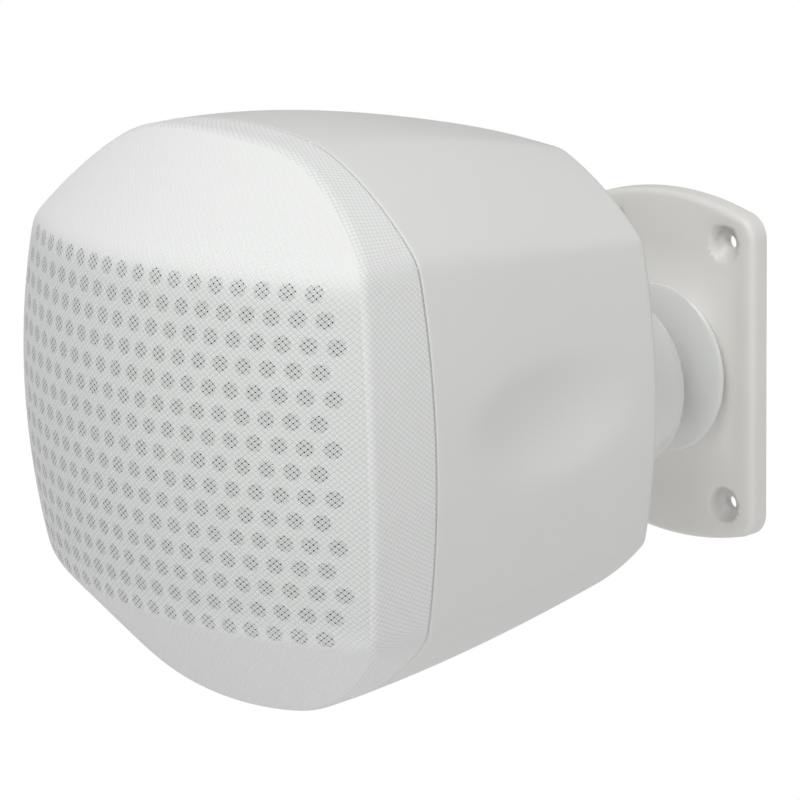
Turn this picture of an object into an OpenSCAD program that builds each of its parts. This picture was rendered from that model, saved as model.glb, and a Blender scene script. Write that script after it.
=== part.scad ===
// Wall and ceiling mount loudspeaker: a faceted, softly bowed cabinet with a cloth covered
// perforated front, on a ball swivel and a four hole mounting plate.
// Millimetres. The wall is the plane y = 0, the front faces -Y and +Z is up.
// The origin is the centre of the mounting plate's back, on the swivel's axis.

/* [Front outline] */
// Width between the side creases at the seam of the front cover
front_w = 141.4; // [134:0.2:150]
// Height of the side faces at the seam
front_side_h = 103.6; // [96:0.2:110]
// Width of the top and bottom faces at the seam
front_top_w = 58.4; // [50:0.2:66]
// Height between the top and bottom creases at the seam
front_h = 162.6; // [154:0.2:172]
// Outward bow of the side faces at the seam
front_side_bow = 5.2; // [3:0.1:7]
// Outward bow of the corner faces at the seam
front_corner_bow = 3.5; // [2:0.1:5]
// Outward bow of the top and bottom faces at the seam
front_top_bow = 2.3; // [1:0.1:4]

/* [Rear outline] */
// Width between the side creases at the rear edge
rear_w = 142.2; // [132:0.2:150]
// Height of the side faces at the rear edge
rear_side_h = 89.2; // [82:0.2:96]
// Width of the top and bottom faces at the rear edge
rear_top_w = 79; // [70:0.5:86]
// Height between the top and bottom creases at the rear edge
rear_h = 135.2; // [128:0.2:144]
// Outward bow of the side faces at the rear edge
rear_side_bow = 4.9; // [3:0.1:7]
// Outward bow of the corner faces at the rear edge
rear_corner_bow = 2.1; // [1:0.1:4]
// Outward bow of the top and bottom faces at the rear edge
rear_top_bow = 2.2; // [1:0.1:4]

/* [Cabinet] */
// Depth of the cabinet shell from its seam to its rear edge
cabinet_d = 86.5; // [84:0.5:110]
// Extra height of the top and bottom faces at half depth
cabinet_crown = 2.2; // [0:0.1:4]
// Rounding of the long creases at the seam
front_crease_r = 10; // [4:0.5:14]
// Rounding of the long creases at the rear edge
rear_crease_r = 2.5; // [1:0.5:8]
// Depth of the bevelled rear cap behind the rear edge
rear_cap_d = 4; // [3:0.5:6]
// How far the flat rear face lies inside the rear edge
rear_cap_inset = 8; // [5:0.5:10]
// Wall thickness of the cabinet
cabinet_wall = 3; // [2.6:0.1:4]
// Height of the cabinet's axis above the swivel's axis
axis_rise = 20; // [16:0.5:24]
// Length of the finger dish in each side
dish_l = 60; // [50:1:66]
// Height of the finger dish in each side
dish_h = 34; // [28:1:40]
// Depth of the finger dish at its deepest line
dish_d = 3.5; // [2:0.5:5]

/* [Front cover] */
// Depth of the cover from its middle to the seam
cover_d = 46.8; // [42:0.2:52]
// Radius of the perforated band seen from above
band_r = 137.3; // [125:0.5:150]
// Radius of the perforated band seen from the side
band_side_r = 252; // [220:1:300]
// Height of the perforated band
band_h = 101.4; // [94:0.2:108]
// How far the top and bottom lenses lean back for each millimetre of height
lens_slope = 0.85; // [0.7:0.01:1]
// Thickness of the perforated panel
panel_t = 2.6; // [2.2:0.1:3.2]
// Thickness of the speaker cloth
cloth_t = 0.5; // [0.3:0.1:0.8]
// Spacing of the perforations along a row
hole_pitch = 7; // [6.5:0.1:8]
// Spacing of the rows of perforations
row_pitch = 6.83; // [6.4:0.01:7.2]
// Diameter of each perforation
hole_d = 4.5; // [3.6:0.1:5]
// Diameter of the cover's four locating pegs
peg_d = 6.8; // [6:0.2:8]

/* [Driver] */
// Diameter of the basket's flange
flange_d = 104; // [100:1:106]
// Thickness of the basket's sheet steel
basket_t = 1.2; // [1:0.1:1.5]
// Depth from the flange to the top plate
basket_d = 24; // [22:0.5:27]
// Diameter of the cone's outer edge
cone_d = 74; // [70:1:76]
// Depth of the cone
cone_h = 14; // [12:0.5:15]
// Thickness of the cone paper
cone_t = 0.6; // [0.5:0.1:0.9]
// Travel of the cone each way
cone_travel = 3; // [2:0.5:3.5]
// Diameter of the voice coil former's inside
coil_d = 24.6; // [23:0.2:26]
// Diameter of the ring magnet
magnet_d = 70; // [64:1:74]
// Thickness of the ring magnet
magnet_t = 12; // [9:0.5:14]
// Thickness of the top plate and of the back plate
plate_steel_t = 5; // [4:0.5:6]
// Thickness of the baffle
baffle_t = 4; // [3:0.2:5]

/* [Swivel] */
// Distance from the wall to the ball's centre
ball_reach = 38; // [36:0.5:42]
// Distance from the ball's centre to the cabinet's rear face
arm_l = 51.9; // [46:0.1:60]
// Diameter of the ball
ball_d = 30; // [28:0.5:31]
// Diameter of the ball's neck
neck_d = 12; // [10:0.5:13]
// Thickness of the two seat rings
seat_t = 1.5; // [1.2:0.1:1.8]
// Diameter of the clamp ring
clamp_d = 59; // [57:0.5:62]
// Distance from the ball's centre to the clamp ring's wall end
clamp_reach = 10; // [9:0.2:11]
// Length of the clamp ring
clamp_l = 18; // [16:0.5:22]
// Diameter of the arm at its thin end
arm_d = 53; // [51:0.5:56]
// Diameter of the arm's foot flange
foot_d = 72; // [70:0.5:74]
// Thickness of the arm's foot flange
foot_t = 6; // [5.5:0.5:8]

/* [Wall plate] */
// Width of the mounting plate
plate_w = 71.4; // [66:0.2:78]
// Height of the plate's straight sides
plate_h = 100.2; // [94:0.2:108]
// Outward bow of the plate's top and bottom edges
plate_bow = 6.3; // [4:0.1:8]
// Thickness of the plate
plate_t = 6.6; // [6:0.1:8]
// Corner radius of the plate
plate_corner_r = 8; // [5:0.5:10]
// Rounding of the plate's front edge
plate_edge_r = 2.2; // [1:0.1:2.6]
// Spacing of the screw holes across
screw_dx = 47; // [42:0.5:50]
// Spacing of the screw holes up and down
screw_dz = 84.6; // [78:0.2:90]
// Diameter of the screw holes
screw_hole_d = 4.8; // [4:0.1:5.4]
// Diameter of the boss cover on the plate
boss_d = 56; // [52:0.5:60]
// Height of the boss cover above the plate
boss_h = 10; // [8:0.5:11]

/* [Terminals] */
// Width of the terminal cup's flange
cup_w = 58; // [56:0.5:62]
// Height of the terminal cup's flange
cup_h = 34; // [32:0.5:36]
// Depth of the terminal cup inside the cabinet
cup_d = 16; // [15:0.5:20]
// Height of the cup's centre above the swivel's axis
cup_z = 58; // [57:0.5:60]
// Width of each terminal lever
lever_w = 17; // [14:0.5:18]
// Travel of each terminal lever in degrees
lever_travel = 18; // [12:1:20]

/* [Hidden] */

$fn = 96;
// Segments of the large arcs that are kept as true arcs
arc_fn = 240;
// Segments of the arcs in the lofted shell
loft_fn = 120;
// Small step by which a cut runs past a face
eps = 1;
// Thickness of the slabs that a loft is drawn over
slab = 0.2;
// Depth below a corner's chord from which the outline is left whole
chord_depth = 5;
// Clearance between parts that stand in each other
fit = 0.2;
// Running clearance of the ball and its seats
run_fit = 0.1;
// Visible joint between the cover and the cabinet
seam_gap = 0.4;
// Thickness of the foam gaskets
gasket_t = 1;

// Planes along Y
rear_face_y = -(ball_reach + arm_l);
rear_edge_y = rear_face_y - rear_cap_d;
seam_y = rear_edge_y - cabinet_d;
apex_y = seam_y - cover_d;
mid_y = (seam_y + rear_edge_y) / 2;

// Baffle, its ledge and its screws
baffle_inset = cabinet_wall + 1;
ledge_inset = cabinet_wall + 5;
ledge_t = 3;
baffle_rim_h = 3;
baffle_rim_t = 1.4;
socket_wall = 1.8;
socket_floor = 2;
boss_r = 4.5;
boss_l = 14;
side_boss_x = front_w / 2 + front_side_bow - ledge_inset - 3;
top_boss_x = front_top_w / 2 - 9;
top_boss_z = front_h / 2 - ledge_inset - 1.3;
baffle_screw_places = [
    [side_boss_x, 0], [-side_boss_x, 0],
    [top_boss_x, top_boss_z], [-top_boss_x, top_boss_z],
    [top_boss_x, -top_boss_z], [-top_boss_x, -top_boss_z]
];
small_screw_d = 3;
small_screw_l = 14;
small_head_d = 5.6;
small_head_h = 2;

// Cover pegs stand inside the middle of the corner faces, clear of the ledge
peg_l = 7;
peg_clear = 2;
peg_inset = ledge_inset - front_corner_bow + peg_d / 2 + fit + socket_wall + peg_clear;
corner_run = [front_top_w - front_w, front_h - front_side_h] / 2;
corner_out = [corner_run[1], -corner_run[0]] / norm(corner_run);
peg_x = (front_w + front_top_w) / 4 - peg_inset * corner_out[0];
peg_z = (front_side_h + front_h) / 4 - peg_inset * corner_out[1];
post_d = 10;
panel_o = cloth_t + fit;

// Driver, along its own axis from the rear of its flange
flange_r = flange_d / 2;
bowl_r = flange_r - 6;
ledge_r = bowl_r - 15;
spider_z = basket_d - 8;
driver_screw_r = flange_r - 2.8;
cone_r = cone_d / 2;
roll_r = 3.3;
surround_t = 0.5;
former_r = coil_d / 2 + 0.5;
winding_r = former_r + 0.45;
gap_r = winding_r + 0.6;
pole_r = coil_d / 2 - 0.4;
window_w = 22;
window_front = 3;
window_rear = 2;
strip_w = 16;
strip_t = 1.2;
strip_tag_z = 20.5;
strip_tag_w = 2.8;
strip_tag_l = 6;
strip_tag_t = 0.8;
driver_screw_l = 10;
driver_head_d = 5;
driver_head_h = 1.8;
driver_boss_r = 3.6;
driver_boss_l = 10;
spider_t = 0.5;
spider_wave_h = 1.1;
spider_rim = 3;
top_plate_z = basket_d;
magnet_z = top_plate_z + plate_steel_t;
yoke_z = magnet_z + magnet_t;

// Swivel
ball_r = ball_d / 2;
seat_in_r = ball_r + run_fit;
seat_out_r = seat_in_r + seat_t;
socket_r = seat_out_r + run_fit;
thread_r = clamp_d / 2 - 4.5;
clamp_front = clamp_l - clamp_reach;
shoulder_t = -2.6;
foot_r = foot_d / 2;
arm_screw_r = foot_r - 4.5;
arm_screw_l = cabinet_wall + foot_t - 1;
arm_head_d = 6;
arm_floor_t = 4;
arm_wall = 5;
stud_r = 4;
stud_flange_r = 11;
stud_flange_t = 2.5;
nut_flats = 13;
nut_t = 6.5;
nut_seat = 8;

// Boss cover
boss_cover_r = boss_d / 2;
boss_dome_r = 78;
boss_wall = 2.2;
pad_recess = 0.8;
pad_under = boss_h - 3.8;

// Terminal cup
cup_body_w = cup_w - 12;
cup_body_h = cup_h - 8;
cup_wall = 2;
cup_flange_t = 2;
cup_corner_r = 4;
cup_screw_x = cup_w / 2 - 3;
cup_screw_d = 2.4;
cup_screw_l = 9;
cup_head_d = 4.6;
cup_head_h = 1.6;
lever_x = lever_w / 2 + 1.8;
hinge_y = rear_face_y - 3.6;
hinge_z = cup_z + cup_body_h / 2 - cup_wall - 3;
hinge_pin_r = 1.5;
lever_t = 2.4;
lever_l = 14;
bead_r = 2.6;
bead_z = hinge_z - lever_l + 1.8;
tag_z = cup_z - 2;
tag_l = 6;

// Space round the fibre wad
wad_clear_front = 4.5;
wad_clear_rear = 12;
wad_clear_top = 24;

// Routes of the wires from the terminal cup to the driver's tags, chosen by hand. Each point
// gives its x, its share of the way from the cup's floor to the tags and its z.
wire_r = 0.9;
wire_clear = 6.5;
wire_start_y = rear_face_y - cup_d - wire_clear;
wire_end_y = seam_y - gasket_t + strip_tag_z;
wire_red_route = [
    for (p = [
        [10, 0, 56], [10, 0.074, 56.5], [10, 0.177, 59], [10, 0.301, 63], [9.5, 0.425, 66.5],
        [9, 0.548, 69], [8, 0.672, 70.5], [7, 0.796, 71], [5.5, 0.899, 70.5], [4.5, 0.971, 68],
        [4, 0.998, 64.5], [4, 1, 61.5], [4, 1, 59.5]
    ]) [p[0], wire_start_y + (wire_end_y - wire_start_y) * p[1], p[2]]
];
wire_black_route = [for (p = wire_red_route) [-p[0], p[1], p[2]]];

// Arc radius from half its chord and its bow
function bow_r(half, bow) = (half * half + bow * bow) / (2 * bow);

// Places a part that is drawn along +Z so that its Z runs rearward from y
module rearward(y, z = 0, x = 0) {
    translate([x, y, z]) rotate([-90, 0, 0]) children();
}

// Places a part that is drawn along +Z so that its Z runs forward from y and its Y points up
module forward(y, z = 0, x = 0) {
    translate([x, y, z]) rotate([90, 0, 0]) children();
}

// Rounds the convex corners of an outline
module soft(r) {
    offset(r = r, $fn = 60) offset(delta = -r) children();
}

// One bowed edge of an outline: a disc whose arc runs from a to b, drawn in by inset
module bowed_disc(a, b, bow, inset, segments) {
    half = norm(b - a) / 2;
    r = bow_r(half, bow);
    dir = (b - a) / (2 * half);
    outward = [dir[1], -dir[0]];
    centre = (a + b) / 2 + outward * (bow - r);
    translate(centre) circle(r = r - inset, $fn = segments);
}

// Bowed edge of a corner: the disc, and all that lies well inside the chord, so that it never
// cuts the outline's far side
module corner_region(a, b, bow, inset, segments) {
    reach = 3 * norm(a);
    bowed_disc(a, b, bow, inset, segments);
    translate((a + b) / 2) rotate(atan2(b[1] - a[1], b[0] - a[0]))
        translate([-reach, chord_depth + inset]) square([2 * reach, reach]);
}

// Eight sided outline with bowed edges, drawn in by inset
module body_outline(w, side_h, top_w, h, side_bow, corner_bow, top_bow, inset, segments) {
    side = [w / 2, side_h / 2];
    top = [top_w / 2, h / 2];
    intersection() {
        intersection_for (sx = [0, 1]) {
            mirror([sx, 0])
                bowed_disc([side[0], -side[1]], side, side_bow, inset, segments);
        }
        intersection_for (sz = [0, 1]) {
            mirror([0, sz])
                bowed_disc(top, [-top[0], top[1]], top_bow, inset, segments);
        }
        intersection_for (sx = [0, 1], sz = [0, 1]) {
            mirror([sx, 0]) mirror([0, sz])
                corner_region(side, top, corner_bow, inset, segments);
        }
    }
}

// Cabinet outline at a share of the way from the seam (0) to the rear edge (1)
module station_outline(share, inset, segments = arc_fn) {
    function along(front, rear) = front + (rear - front) * share;
    crown = 8 * cabinet_crown * share * (1 - share);
    body_outline(along(front_w, rear_w), along(front_side_h, rear_side_h),
        along(front_top_w, rear_top_w), along(front_h, rear_h) + crown,
        along(front_side_bow, rear_side_bow), along(front_corner_bow, rear_corner_bow),
        along(front_top_bow, rear_top_bow), inset, segments);
}

// Outline at the seam, shared by the cover, the baffle and the ledge
module front_outline(inset) {
    station_outline(0, inset);
}

// Body of the cabinet from the seam to the flat rear face, drawn in by inset
module cabinet_loft(inset, segments = loft_fn) {
    front_step = inset > 0 ? eps : 0;
    hull() {
        rearward(seam_y - front_step, axis_rise) linear_extrude(slab)
            soft(front_crease_r) station_outline(0, inset, segments);
        for (share = [0.25, 0.5, 0.75]) {
            crease_r = front_crease_r + (rear_crease_r - front_crease_r) * share;
            rearward(seam_y + cabinet_d * share, axis_rise) linear_extrude(slab)
                soft(crease_r) station_outline(share, inset, segments);
        }
        rearward(rear_edge_y - inset / 2, axis_rise) linear_extrude(slab)
            soft(rear_crease_r) station_outline(1, inset, segments);
        rearward(rear_face_y - inset - slab, axis_rise) linear_extrude(slab)
            soft(rear_crease_r) station_outline(1, inset + rear_cap_inset, segments);
    }
}

// Spindle that cuts the finger dish into a side, grown by grow
module dish_spindle(grow = 0) {
    half_h = dish_h / 2;
    reach = (half_h * half_h - dish_d * dish_d) / (2 * dish_d);
    spindle_r = reach + dish_d + grow;
    arc_r = bow_r(dish_l / 2, dish_d);
    side_x = (front_w + rear_w) / 4 + (front_side_bow + rear_side_bow) / 2;
    rearward(mid_y, axis_rise + 2, side_x + reach) rotate_extrude(angle = 360) intersection() {
        translate([spindle_r - arc_r - grow, 0]) circle(r = arc_r + grow, $fn = arc_fn);
        translate([0, -dish_l]) square([spindle_r, 2 * dish_l]);
    }
}

// Slanted box section of the wall between a screw boss and the shell
module boss_web(place) {
    translate([place[0], place[1]]) rotate(atan2(place[1], place[0]))
        translate([0, -boss_r / 2]) square([ledge_inset, boss_r]);
}

// Pan head screw, its shank along +Z and the underside of its head at zero
module screw(d, l, head_d, head_h) {
    slot_w = d * 0.28;
    difference() {
        union() {
            translate([0, 0, -head_h]) cylinder(d1 = head_d * 0.72, d2 = head_d, h = head_h / 2);
            translate([0, 0, -head_h / 2]) cylinder(d = head_d, h = head_h / 2);
            cylinder(d = d, h = l - d / 2);
            translate([0, 0, l - d / 2]) cylinder(d1 = d, d2 = d / 3, h = d / 2);
        }
        for (turn = [0, 90]) {
            rotate(turn) translate([-d * 0.55, -slot_w / 2, -head_h - eps])
                cube([d * 1.1, slot_w, eps + head_h * 0.6]);
        }
    }
}

// Section of a lid: flat sides up to a domed top, with a rounded shoulder that is tangent to both
module domed_section(r, h, dome_r, shoulder_r) {
    reach = sqrt(pow(dome_r - shoulder_r, 2) - pow(r - shoulder_r, 2));
    shoulder_z = h - dome_r + reach;
    stretch = 1.3;
    intersection() {
        square([r, h]);
        union() {
            intersection() {
                translate([0, h - dome_r]) circle(r = dome_r, $fn = arc_fn);
                polygon([
                    [0, h - dome_r],
                    [(r - shoulder_r) * stretch, h - dome_r + reach * stretch],
                    [0, h - dome_r + reach * stretch]
                ]);
            }
            translate([r - shoulder_r, shoulder_z]) circle(r = shoulder_r);
            square([r, shoulder_z]);
        }
    }
}

// Outline of the mounting plate, drawn in by inset
module plate_outline(inset = 0) {
    half_w = plate_w / 2;
    for (sx = [0, 1], sz = [0, 1]) {
        mirror([sx, 0]) mirror([0, sz])
            domed_section(half_w - inset, plate_h / 2 + plate_bow - inset,
                bow_r(half_w, plate_bow) - inset, plate_corner_r - inset);
    }
}

module plate_holes() {
    for (sx = [-1, 1], sz = [-1, 1]) {
        translate([sx * screw_dx / 2, 0, sz * screw_dz / 2]) children();
    }
}

module wall_plate() {
    rim = 2.5;
    skin = 3;
    rib = 2;
    screw_seat = 3.1;
    hub_r = 15;
    dish_r = 8;
    dish_depth = 1;
    dish_ball_r = bow_r(dish_r, dish_depth);
    color([0.78, 0.77, 0.76]) difference() {
        union() {
            difference() {
                hull() {
                    forward(0) linear_extrude(plate_t - plate_edge_r) plate_outline();
                    for (a = [22.5 : 22.5 : 90]) {
                        forward(0) linear_extrude(plate_t - plate_edge_r * (1 - sin(a)))
                            plate_outline(plate_edge_r * (1 - cos(a)));
                    }
                }
                forward(eps) linear_extrude(plate_t - skin + eps) plate_outline(rim);
            }
            intersection() {
                forward(0) linear_extrude(plate_t - skin / 2) plate_outline(rim / 2);
                union() {
                    translate([-rib / 2, -plate_t, -plate_h]) cube([rib, plate_t, 2 * plate_h]);
                    for (z = [-screw_dz / 2, 0, screw_dz / 2]) {
                        translate([-plate_w, -plate_t, z - rib / 2])
                            cube([2 * plate_w, plate_t, rib]);
                    }
                    for (x = [-screw_dx / 2, screw_dx / 2]) {
                        translate([x - rib / 2, -plate_t, -plate_h])
                            cube([rib, plate_t, 2 * plate_h]);
                    }
                    plate_holes() forward(0) cylinder(r = dish_r, h = plate_t);
                }
            }
            forward(0) cylinder(r = hub_r, h = plate_t + pad_under);
        }
        plate_holes() {
            forward(eps) cylinder(d = screw_hole_d, h = plate_t + 2 * eps);
            forward(-screw_seat) cylinder(r = 5.7, h = plate_t);
            translate([0, -plate_t + dish_depth - dish_ball_r, 0]) sphere(r = dish_ball_r);
        }
        forward(eps) cylinder(r = stud_r + fit, h = plate_t + boss_h + eps);
        forward(eps) cylinder(r = (nut_flats / 2 + fit) / cos(30), h = nut_seat + eps, $fn = 6);
    }
}

module boss_cover() {
    color([0.8, 0.8, 0.78]) forward(-plate_t) difference() {
        union() {
            rotate_extrude() difference() {
                domed_section(boss_cover_r, boss_h, boss_dome_r, 3);
                translate([0, -eps])
                    domed_section(boss_cover_r - boss_wall, boss_h - boss_wall + eps,
                        boss_dome_r - boss_wall, 1.2);
            }
            translate([0, 0, pad_under]) cylinder(r = stud_flange_r + 2, h = boss_wall);
        }
        translate([0, 0, -eps]) cylinder(r = stud_r + fit, h = boss_h + 2 * eps);
        translate([0, 0, boss_h - pad_recess]) cylinder(r = stud_flange_r + fit, h = boss_h);
    }
}

module ball_stud() {
    flange_z = plate_t + boss_h - pad_recess;
    neck_r = neck_d / 2;
    color([0.72, 0.73, 0.74]) forward(0) union() {
        translate([0, 0, ball_reach]) sphere(r = ball_r, $fn = 120);
        translate([0, 0, flange_z]) cylinder(r = neck_r, h = ball_reach - flange_z - ball_r / 2);
        translate([0, 0, flange_z]) cylinder(r = stud_flange_r, h = stud_flange_t - 0.7);
        translate([0, 0, flange_z + stud_flange_t - 0.7])
            cylinder(r1 = stud_flange_r, r2 = stud_flange_r - 0.7, h = 0.7);
        translate([0, 0, flange_z + stud_flange_t])
            cylinder(r1 = neck_r + 1.5, r2 = neck_r, h = 1.5);
        translate([0, 0, 1]) cylinder(r = stud_r, h = flange_z - 1);
    }
}

module stud_nut() {
    color([0.7, 0.7, 0.72]) forward(-(nut_seat - nut_t)) difference() {
        intersection() {
            cylinder(r = nut_flats / 2 / cos(30), h = nut_t, $fn = 6);
            rotate_extrude() polygon([
                [0, 0], [nut_flats / 2 - 0.4, 0], [nut_flats / 2 / cos(30), 1],
                [nut_flats / 2 / cos(30), nut_t], [0, nut_t]
            ]);
        }
        translate([0, 0, -eps]) cylinder(r = stud_r + run_fit / 2, h = nut_t + 2 * eps);
    }
}

// Ring of a spherical shell between two angles from its own axis
module seat_ring(from_angle, to_angle) {
    big = 2 * seat_out_r;
    rotate_extrude($fn = 120) intersection() {
        difference() {
            circle(r = seat_out_r, $fn = 120);
            circle(r = seat_in_r, $fn = 120);
        }
        polygon([
            [0, 0], [big * sin(from_angle), big * cos(from_angle)],
            [big * sin(to_angle), big * cos(to_angle)]
        ]);
    }
}

module seat_ring_wall() {
    color([0.3, 0.3, 0.32]) rearward(-ball_reach) seat_ring(58, 78);
}

module seat_ring_arm() {
    color([0.3, 0.3, 0.32]) forward(-ball_reach) seat_ring(30, 75);
}

// Hand turned ring that draws the arm's socket over the ball
module clamp_ring() {
    outer_r = clamp_d / 2;
    rim_r = 3;
    front_rim_r = 1;
    color([0.84, 0.84, 0.82]) forward(-ball_reach) difference() {
        rotate_extrude(convexity = 4) union() {
            translate([0, -clamp_reach]) square([outer_r - rim_r, clamp_l]);
            translate([0, rim_r - clamp_reach])
                square([outer_r, clamp_l - rim_r - front_rim_r]);
            translate([0, clamp_front - 2 * front_rim_r])
                square([outer_r - front_rim_r, 2 * front_rim_r]);
            translate([outer_r - rim_r, rim_r - clamp_reach]) circle(r = rim_r);
            translate([outer_r - front_rim_r, clamp_front - front_rim_r])
                circle(r = front_rim_r);
        }
        sphere(r = socket_r, $fn = 120);
        translate([0, 0, shoulder_t]) cylinder(r = thread_r + fit, h = clamp_l);
        translate([0, 0, -clamp_reach - eps])
            cylinder(r = sqrt(pow(socket_r, 2) - pow(clamp_reach, 2)) + fit, h = eps + fit);
    }
}

module swivel_arm() {
    waist_r = arm_d / 2;
    cove_r = foot_r - waist_r;
    color([0.8, 0.8, 0.78]) forward(-ball_reach) difference() {
        union() {
            translate([0, 0, shoulder_t + fit])
                cylinder(r = thread_r, h = clamp_front - shoulder_t);
            rotate_extrude() difference() {
                union() {
                    translate([0, clamp_front + fit])
                        square([waist_r, arm_l - clamp_front - fit]);
                    translate([0, arm_l - foot_t - cove_r])
                        square([foot_r, cove_r + foot_t]);
                }
                translate([waist_r + cove_r, arm_l - foot_t - cove_r]) circle(r = cove_r);
            }
        }
        sphere(r = socket_r, $fn = 120);
        translate([0, 0, socket_r + arm_floor_t]) cylinder(r = waist_r - arm_wall, h = arm_l);
        for (turn = [45 : 90 : 315]) {
            rotate(turn) translate([arm_screw_r, 0, arm_l - arm_screw_l + cabinet_wall - fit])
                cylinder(d = small_screw_d + run_fit, h = arm_screw_l);
        }
    }
}

module arm_screws() {
    color([0.5, 0.5, 0.52]) rearward(rear_face_y - cabinet_wall) {
        for (turn = [45 : 90 : 315]) {
            rotate(turn) translate([arm_screw_r, 0, 0])
                screw(small_screw_d, arm_screw_l, arm_head_d, small_head_h);
        }
    }
}

module cabinet() {
    ledge_y = seam_y + baffle_t + gasket_t;
    color([0.82, 0.83, 0.81]) difference() {
        union() {
            difference() {
                cabinet_loft(0);
                cabinet_loft(cabinet_wall);
            }
            intersection() {
                cabinet_loft(cabinet_wall / 2);
                for (side = [0, 1]) {
                    mirror([side, 0, 0]) dish_spindle(cabinet_wall);
                }
            }
            rearward(ledge_y, axis_rise) difference() {
                linear_extrude(ledge_t) front_outline(cabinet_wall * 0.6);
                translate([0, 0, -eps]) linear_extrude(ledge_t + 2 * eps)
                    front_outline(ledge_inset);
            }
            rearward(ledge_y, axis_rise) for (place = baffle_screw_places) {
                translate([place[0], place[1], 0]) cylinder(r = boss_r, h = boss_l);
                linear_extrude(ledge_t) boss_web(place);
            }
        }
        for (side = [0, 1]) {
            mirror([side, 0, 0]) dish_spindle();
        }
        rearward(ledge_y - eps, axis_rise) for (place = baffle_screw_places) {
            translate([place[0], place[1], 0])
                cylinder(d = small_screw_d + run_fit, h = boss_l + eps - 1);
        }
        rearward(rear_face_y - cabinet_wall - eps) for (turn = [45 : 90 : 315]) {
            rotate(turn) translate([arm_screw_r, 0, 0])
                cylinder(d = small_screw_d + 2 * fit, h = cabinet_wall + 2 * eps);
        }
        translate([
            -cup_body_w / 2 - fit, rear_face_y - cabinet_wall - eps,
            cup_z - cup_body_h / 2 - fit
        ]) cube([cup_body_w + 2 * fit, cabinet_wall + 2 * eps, cup_body_h + 2 * fit]);
        for (side = [-1, 1]) {
            rearward(rear_face_y - cabinet_wall - eps, cup_z, side * cup_screw_x)
                cylinder(d = cup_screw_d + run_fit, h = cabinet_wall + 2 * eps);
        }
    }
}

module rounded_panel(w, h, t, r) {
    linear_extrude(t) union() {
        square([w - 2 * r, h], center = true);
        square([w, h - 2 * r], center = true);
        for (sx = [-1, 1], sz = [-1, 1]) {
            translate([sx * (w / 2 - r), sz * (h / 2 - r)]) circle(r = r);
        }
    }
}

module terminal_cup() {
    inner_w = cup_body_w - 2 * cup_wall;
    inner_h = cup_body_h - 2 * cup_wall;
    body_z = cup_z - cup_body_h / 2;
    block_h = bead_z - bead_r - 0.5 - body_z;
    cheek_x = lever_x + lever_w / 2 + fit;
    color([0.14, 0.14, 0.15]) difference() {
        union() {
            difference() {
                union() {
                    rearward(rear_face_y, cup_z) rounded_panel(cup_w, cup_h, cup_flange_t, cup_corner_r);
                    translate([-cup_body_w / 2, rear_face_y - cup_d, body_z])
                        cube([cup_body_w, cup_d + cup_flange_t / 2, cup_body_h]);
                }
                translate([-inner_w / 2, rear_face_y - cup_d + cup_wall, cup_z - inner_h / 2])
                    cube([inner_w, cup_d + cup_flange_t, inner_h]);
            }
            translate([-inner_w / 2, rear_face_y - cup_d + cup_wall / 2, body_z])
                cube([inner_w, cup_d - cup_wall / 2 - 5, block_h]);
            translate([-1.5, rear_face_y - cup_d + cup_wall / 2, body_z])
                cube([3, cup_d - cup_wall / 2, cup_body_h]);
            for (side = [0, 1]) {
                mirror([side, 0, 0])
                    translate([cheek_x, hinge_y - 4, cup_z + cup_body_h / 2 - 9])
                        cube([cup_body_w / 2 - cheek_x, 7, 9]);
            }
        }
        translate([0, hinge_y, hinge_z]) rotate([0, 90, 0])
            cylinder(r = hinge_pin_r + run_fit, h = 2 * cheek_x + 2.4, center = true);
        for (side = [-1, 1]) {
            rearward(rear_face_y - cup_d / 2, body_z + cup_wall + 1.9, side * lever_x)
                cylinder(d = 2.6, h = cup_d);
            rearward(rear_face_y - eps, cup_z, side * cup_screw_x)
                cylinder(d = cup_screw_d + run_fit, h = cup_flange_t + 2 * eps);
            translate([side * lever_x - 4.2, rear_face_y - cup_d - eps, tag_z - 0.5])
                cube([8.4, cup_wall + 2 * eps, 1]);
        }
    }
}

module cup_screws() {
    color([0.2, 0.2, 0.2]) for (side = [-1, 1]) {
        forward(rear_face_y + cup_flange_t, cup_z, side * cup_screw_x)
            screw(cup_screw_d, cup_screw_l, cup_head_d, cup_head_h);
    }
}

// Push lever of one terminal, hung on a pin across its top
module terminal_lever() {
    plate_w = lever_w - 2 * fit;
    translate([-plate_w / 2, 0, 0]) rotate([90, 0, 90]) linear_extrude(plate_w) union() {
        circle(r = hinge_pin_r + 0.3);
        translate([-lever_t / 2, -lever_l]) square([lever_t, lever_l]);
        translate([0, bead_z - hinge_z]) circle(r = bead_r);
    }
    rotate([0, 90, 0]) cylinder(r = hinge_pin_r, h = lever_w + 1.6, center = true);
}

module terminal_lever_red() {
    color([0.7, 0.08, 0.08]) translate([lever_x, hinge_y, hinge_z]) terminal_lever();
}

module terminal_lever_black() {
    color([0.1, 0.1, 0.1]) translate([-lever_x, hinge_y, hinge_z]) terminal_lever();
}

// Bent strip through a list of points
module bent_strip(points, t) {
    for (i = [0 : len(points) - 2]) {
        step = points[i + 1] - points[i];
        translate(points[i]) rotate(atan2(step[1], step[0])) translate([0, -t / 2])
            square([norm(step), t]);
        translate(points[i]) circle(d = t, $fn = 24);
    }
}

// Leaf spring that carries the contact, its tag standing through the cup's floor
module contact_spring() {
    t = 0.5;
    floor_y = rear_face_y - cup_d + cup_wall;
    translate([-4, 0, 0]) rotate([90, 0, 90]) linear_extrude(8) bent_strip([
        [floor_y - cup_wall - tag_l, tag_z], [floor_y + t, tag_z],
        [floor_y + t, tag_z + 6], [hinge_y - lever_t / 2 - 0.6, hinge_z - 8],
        [hinge_y - lever_t / 2 - 2, hinge_z - 12]
    ], t);
}

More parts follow.
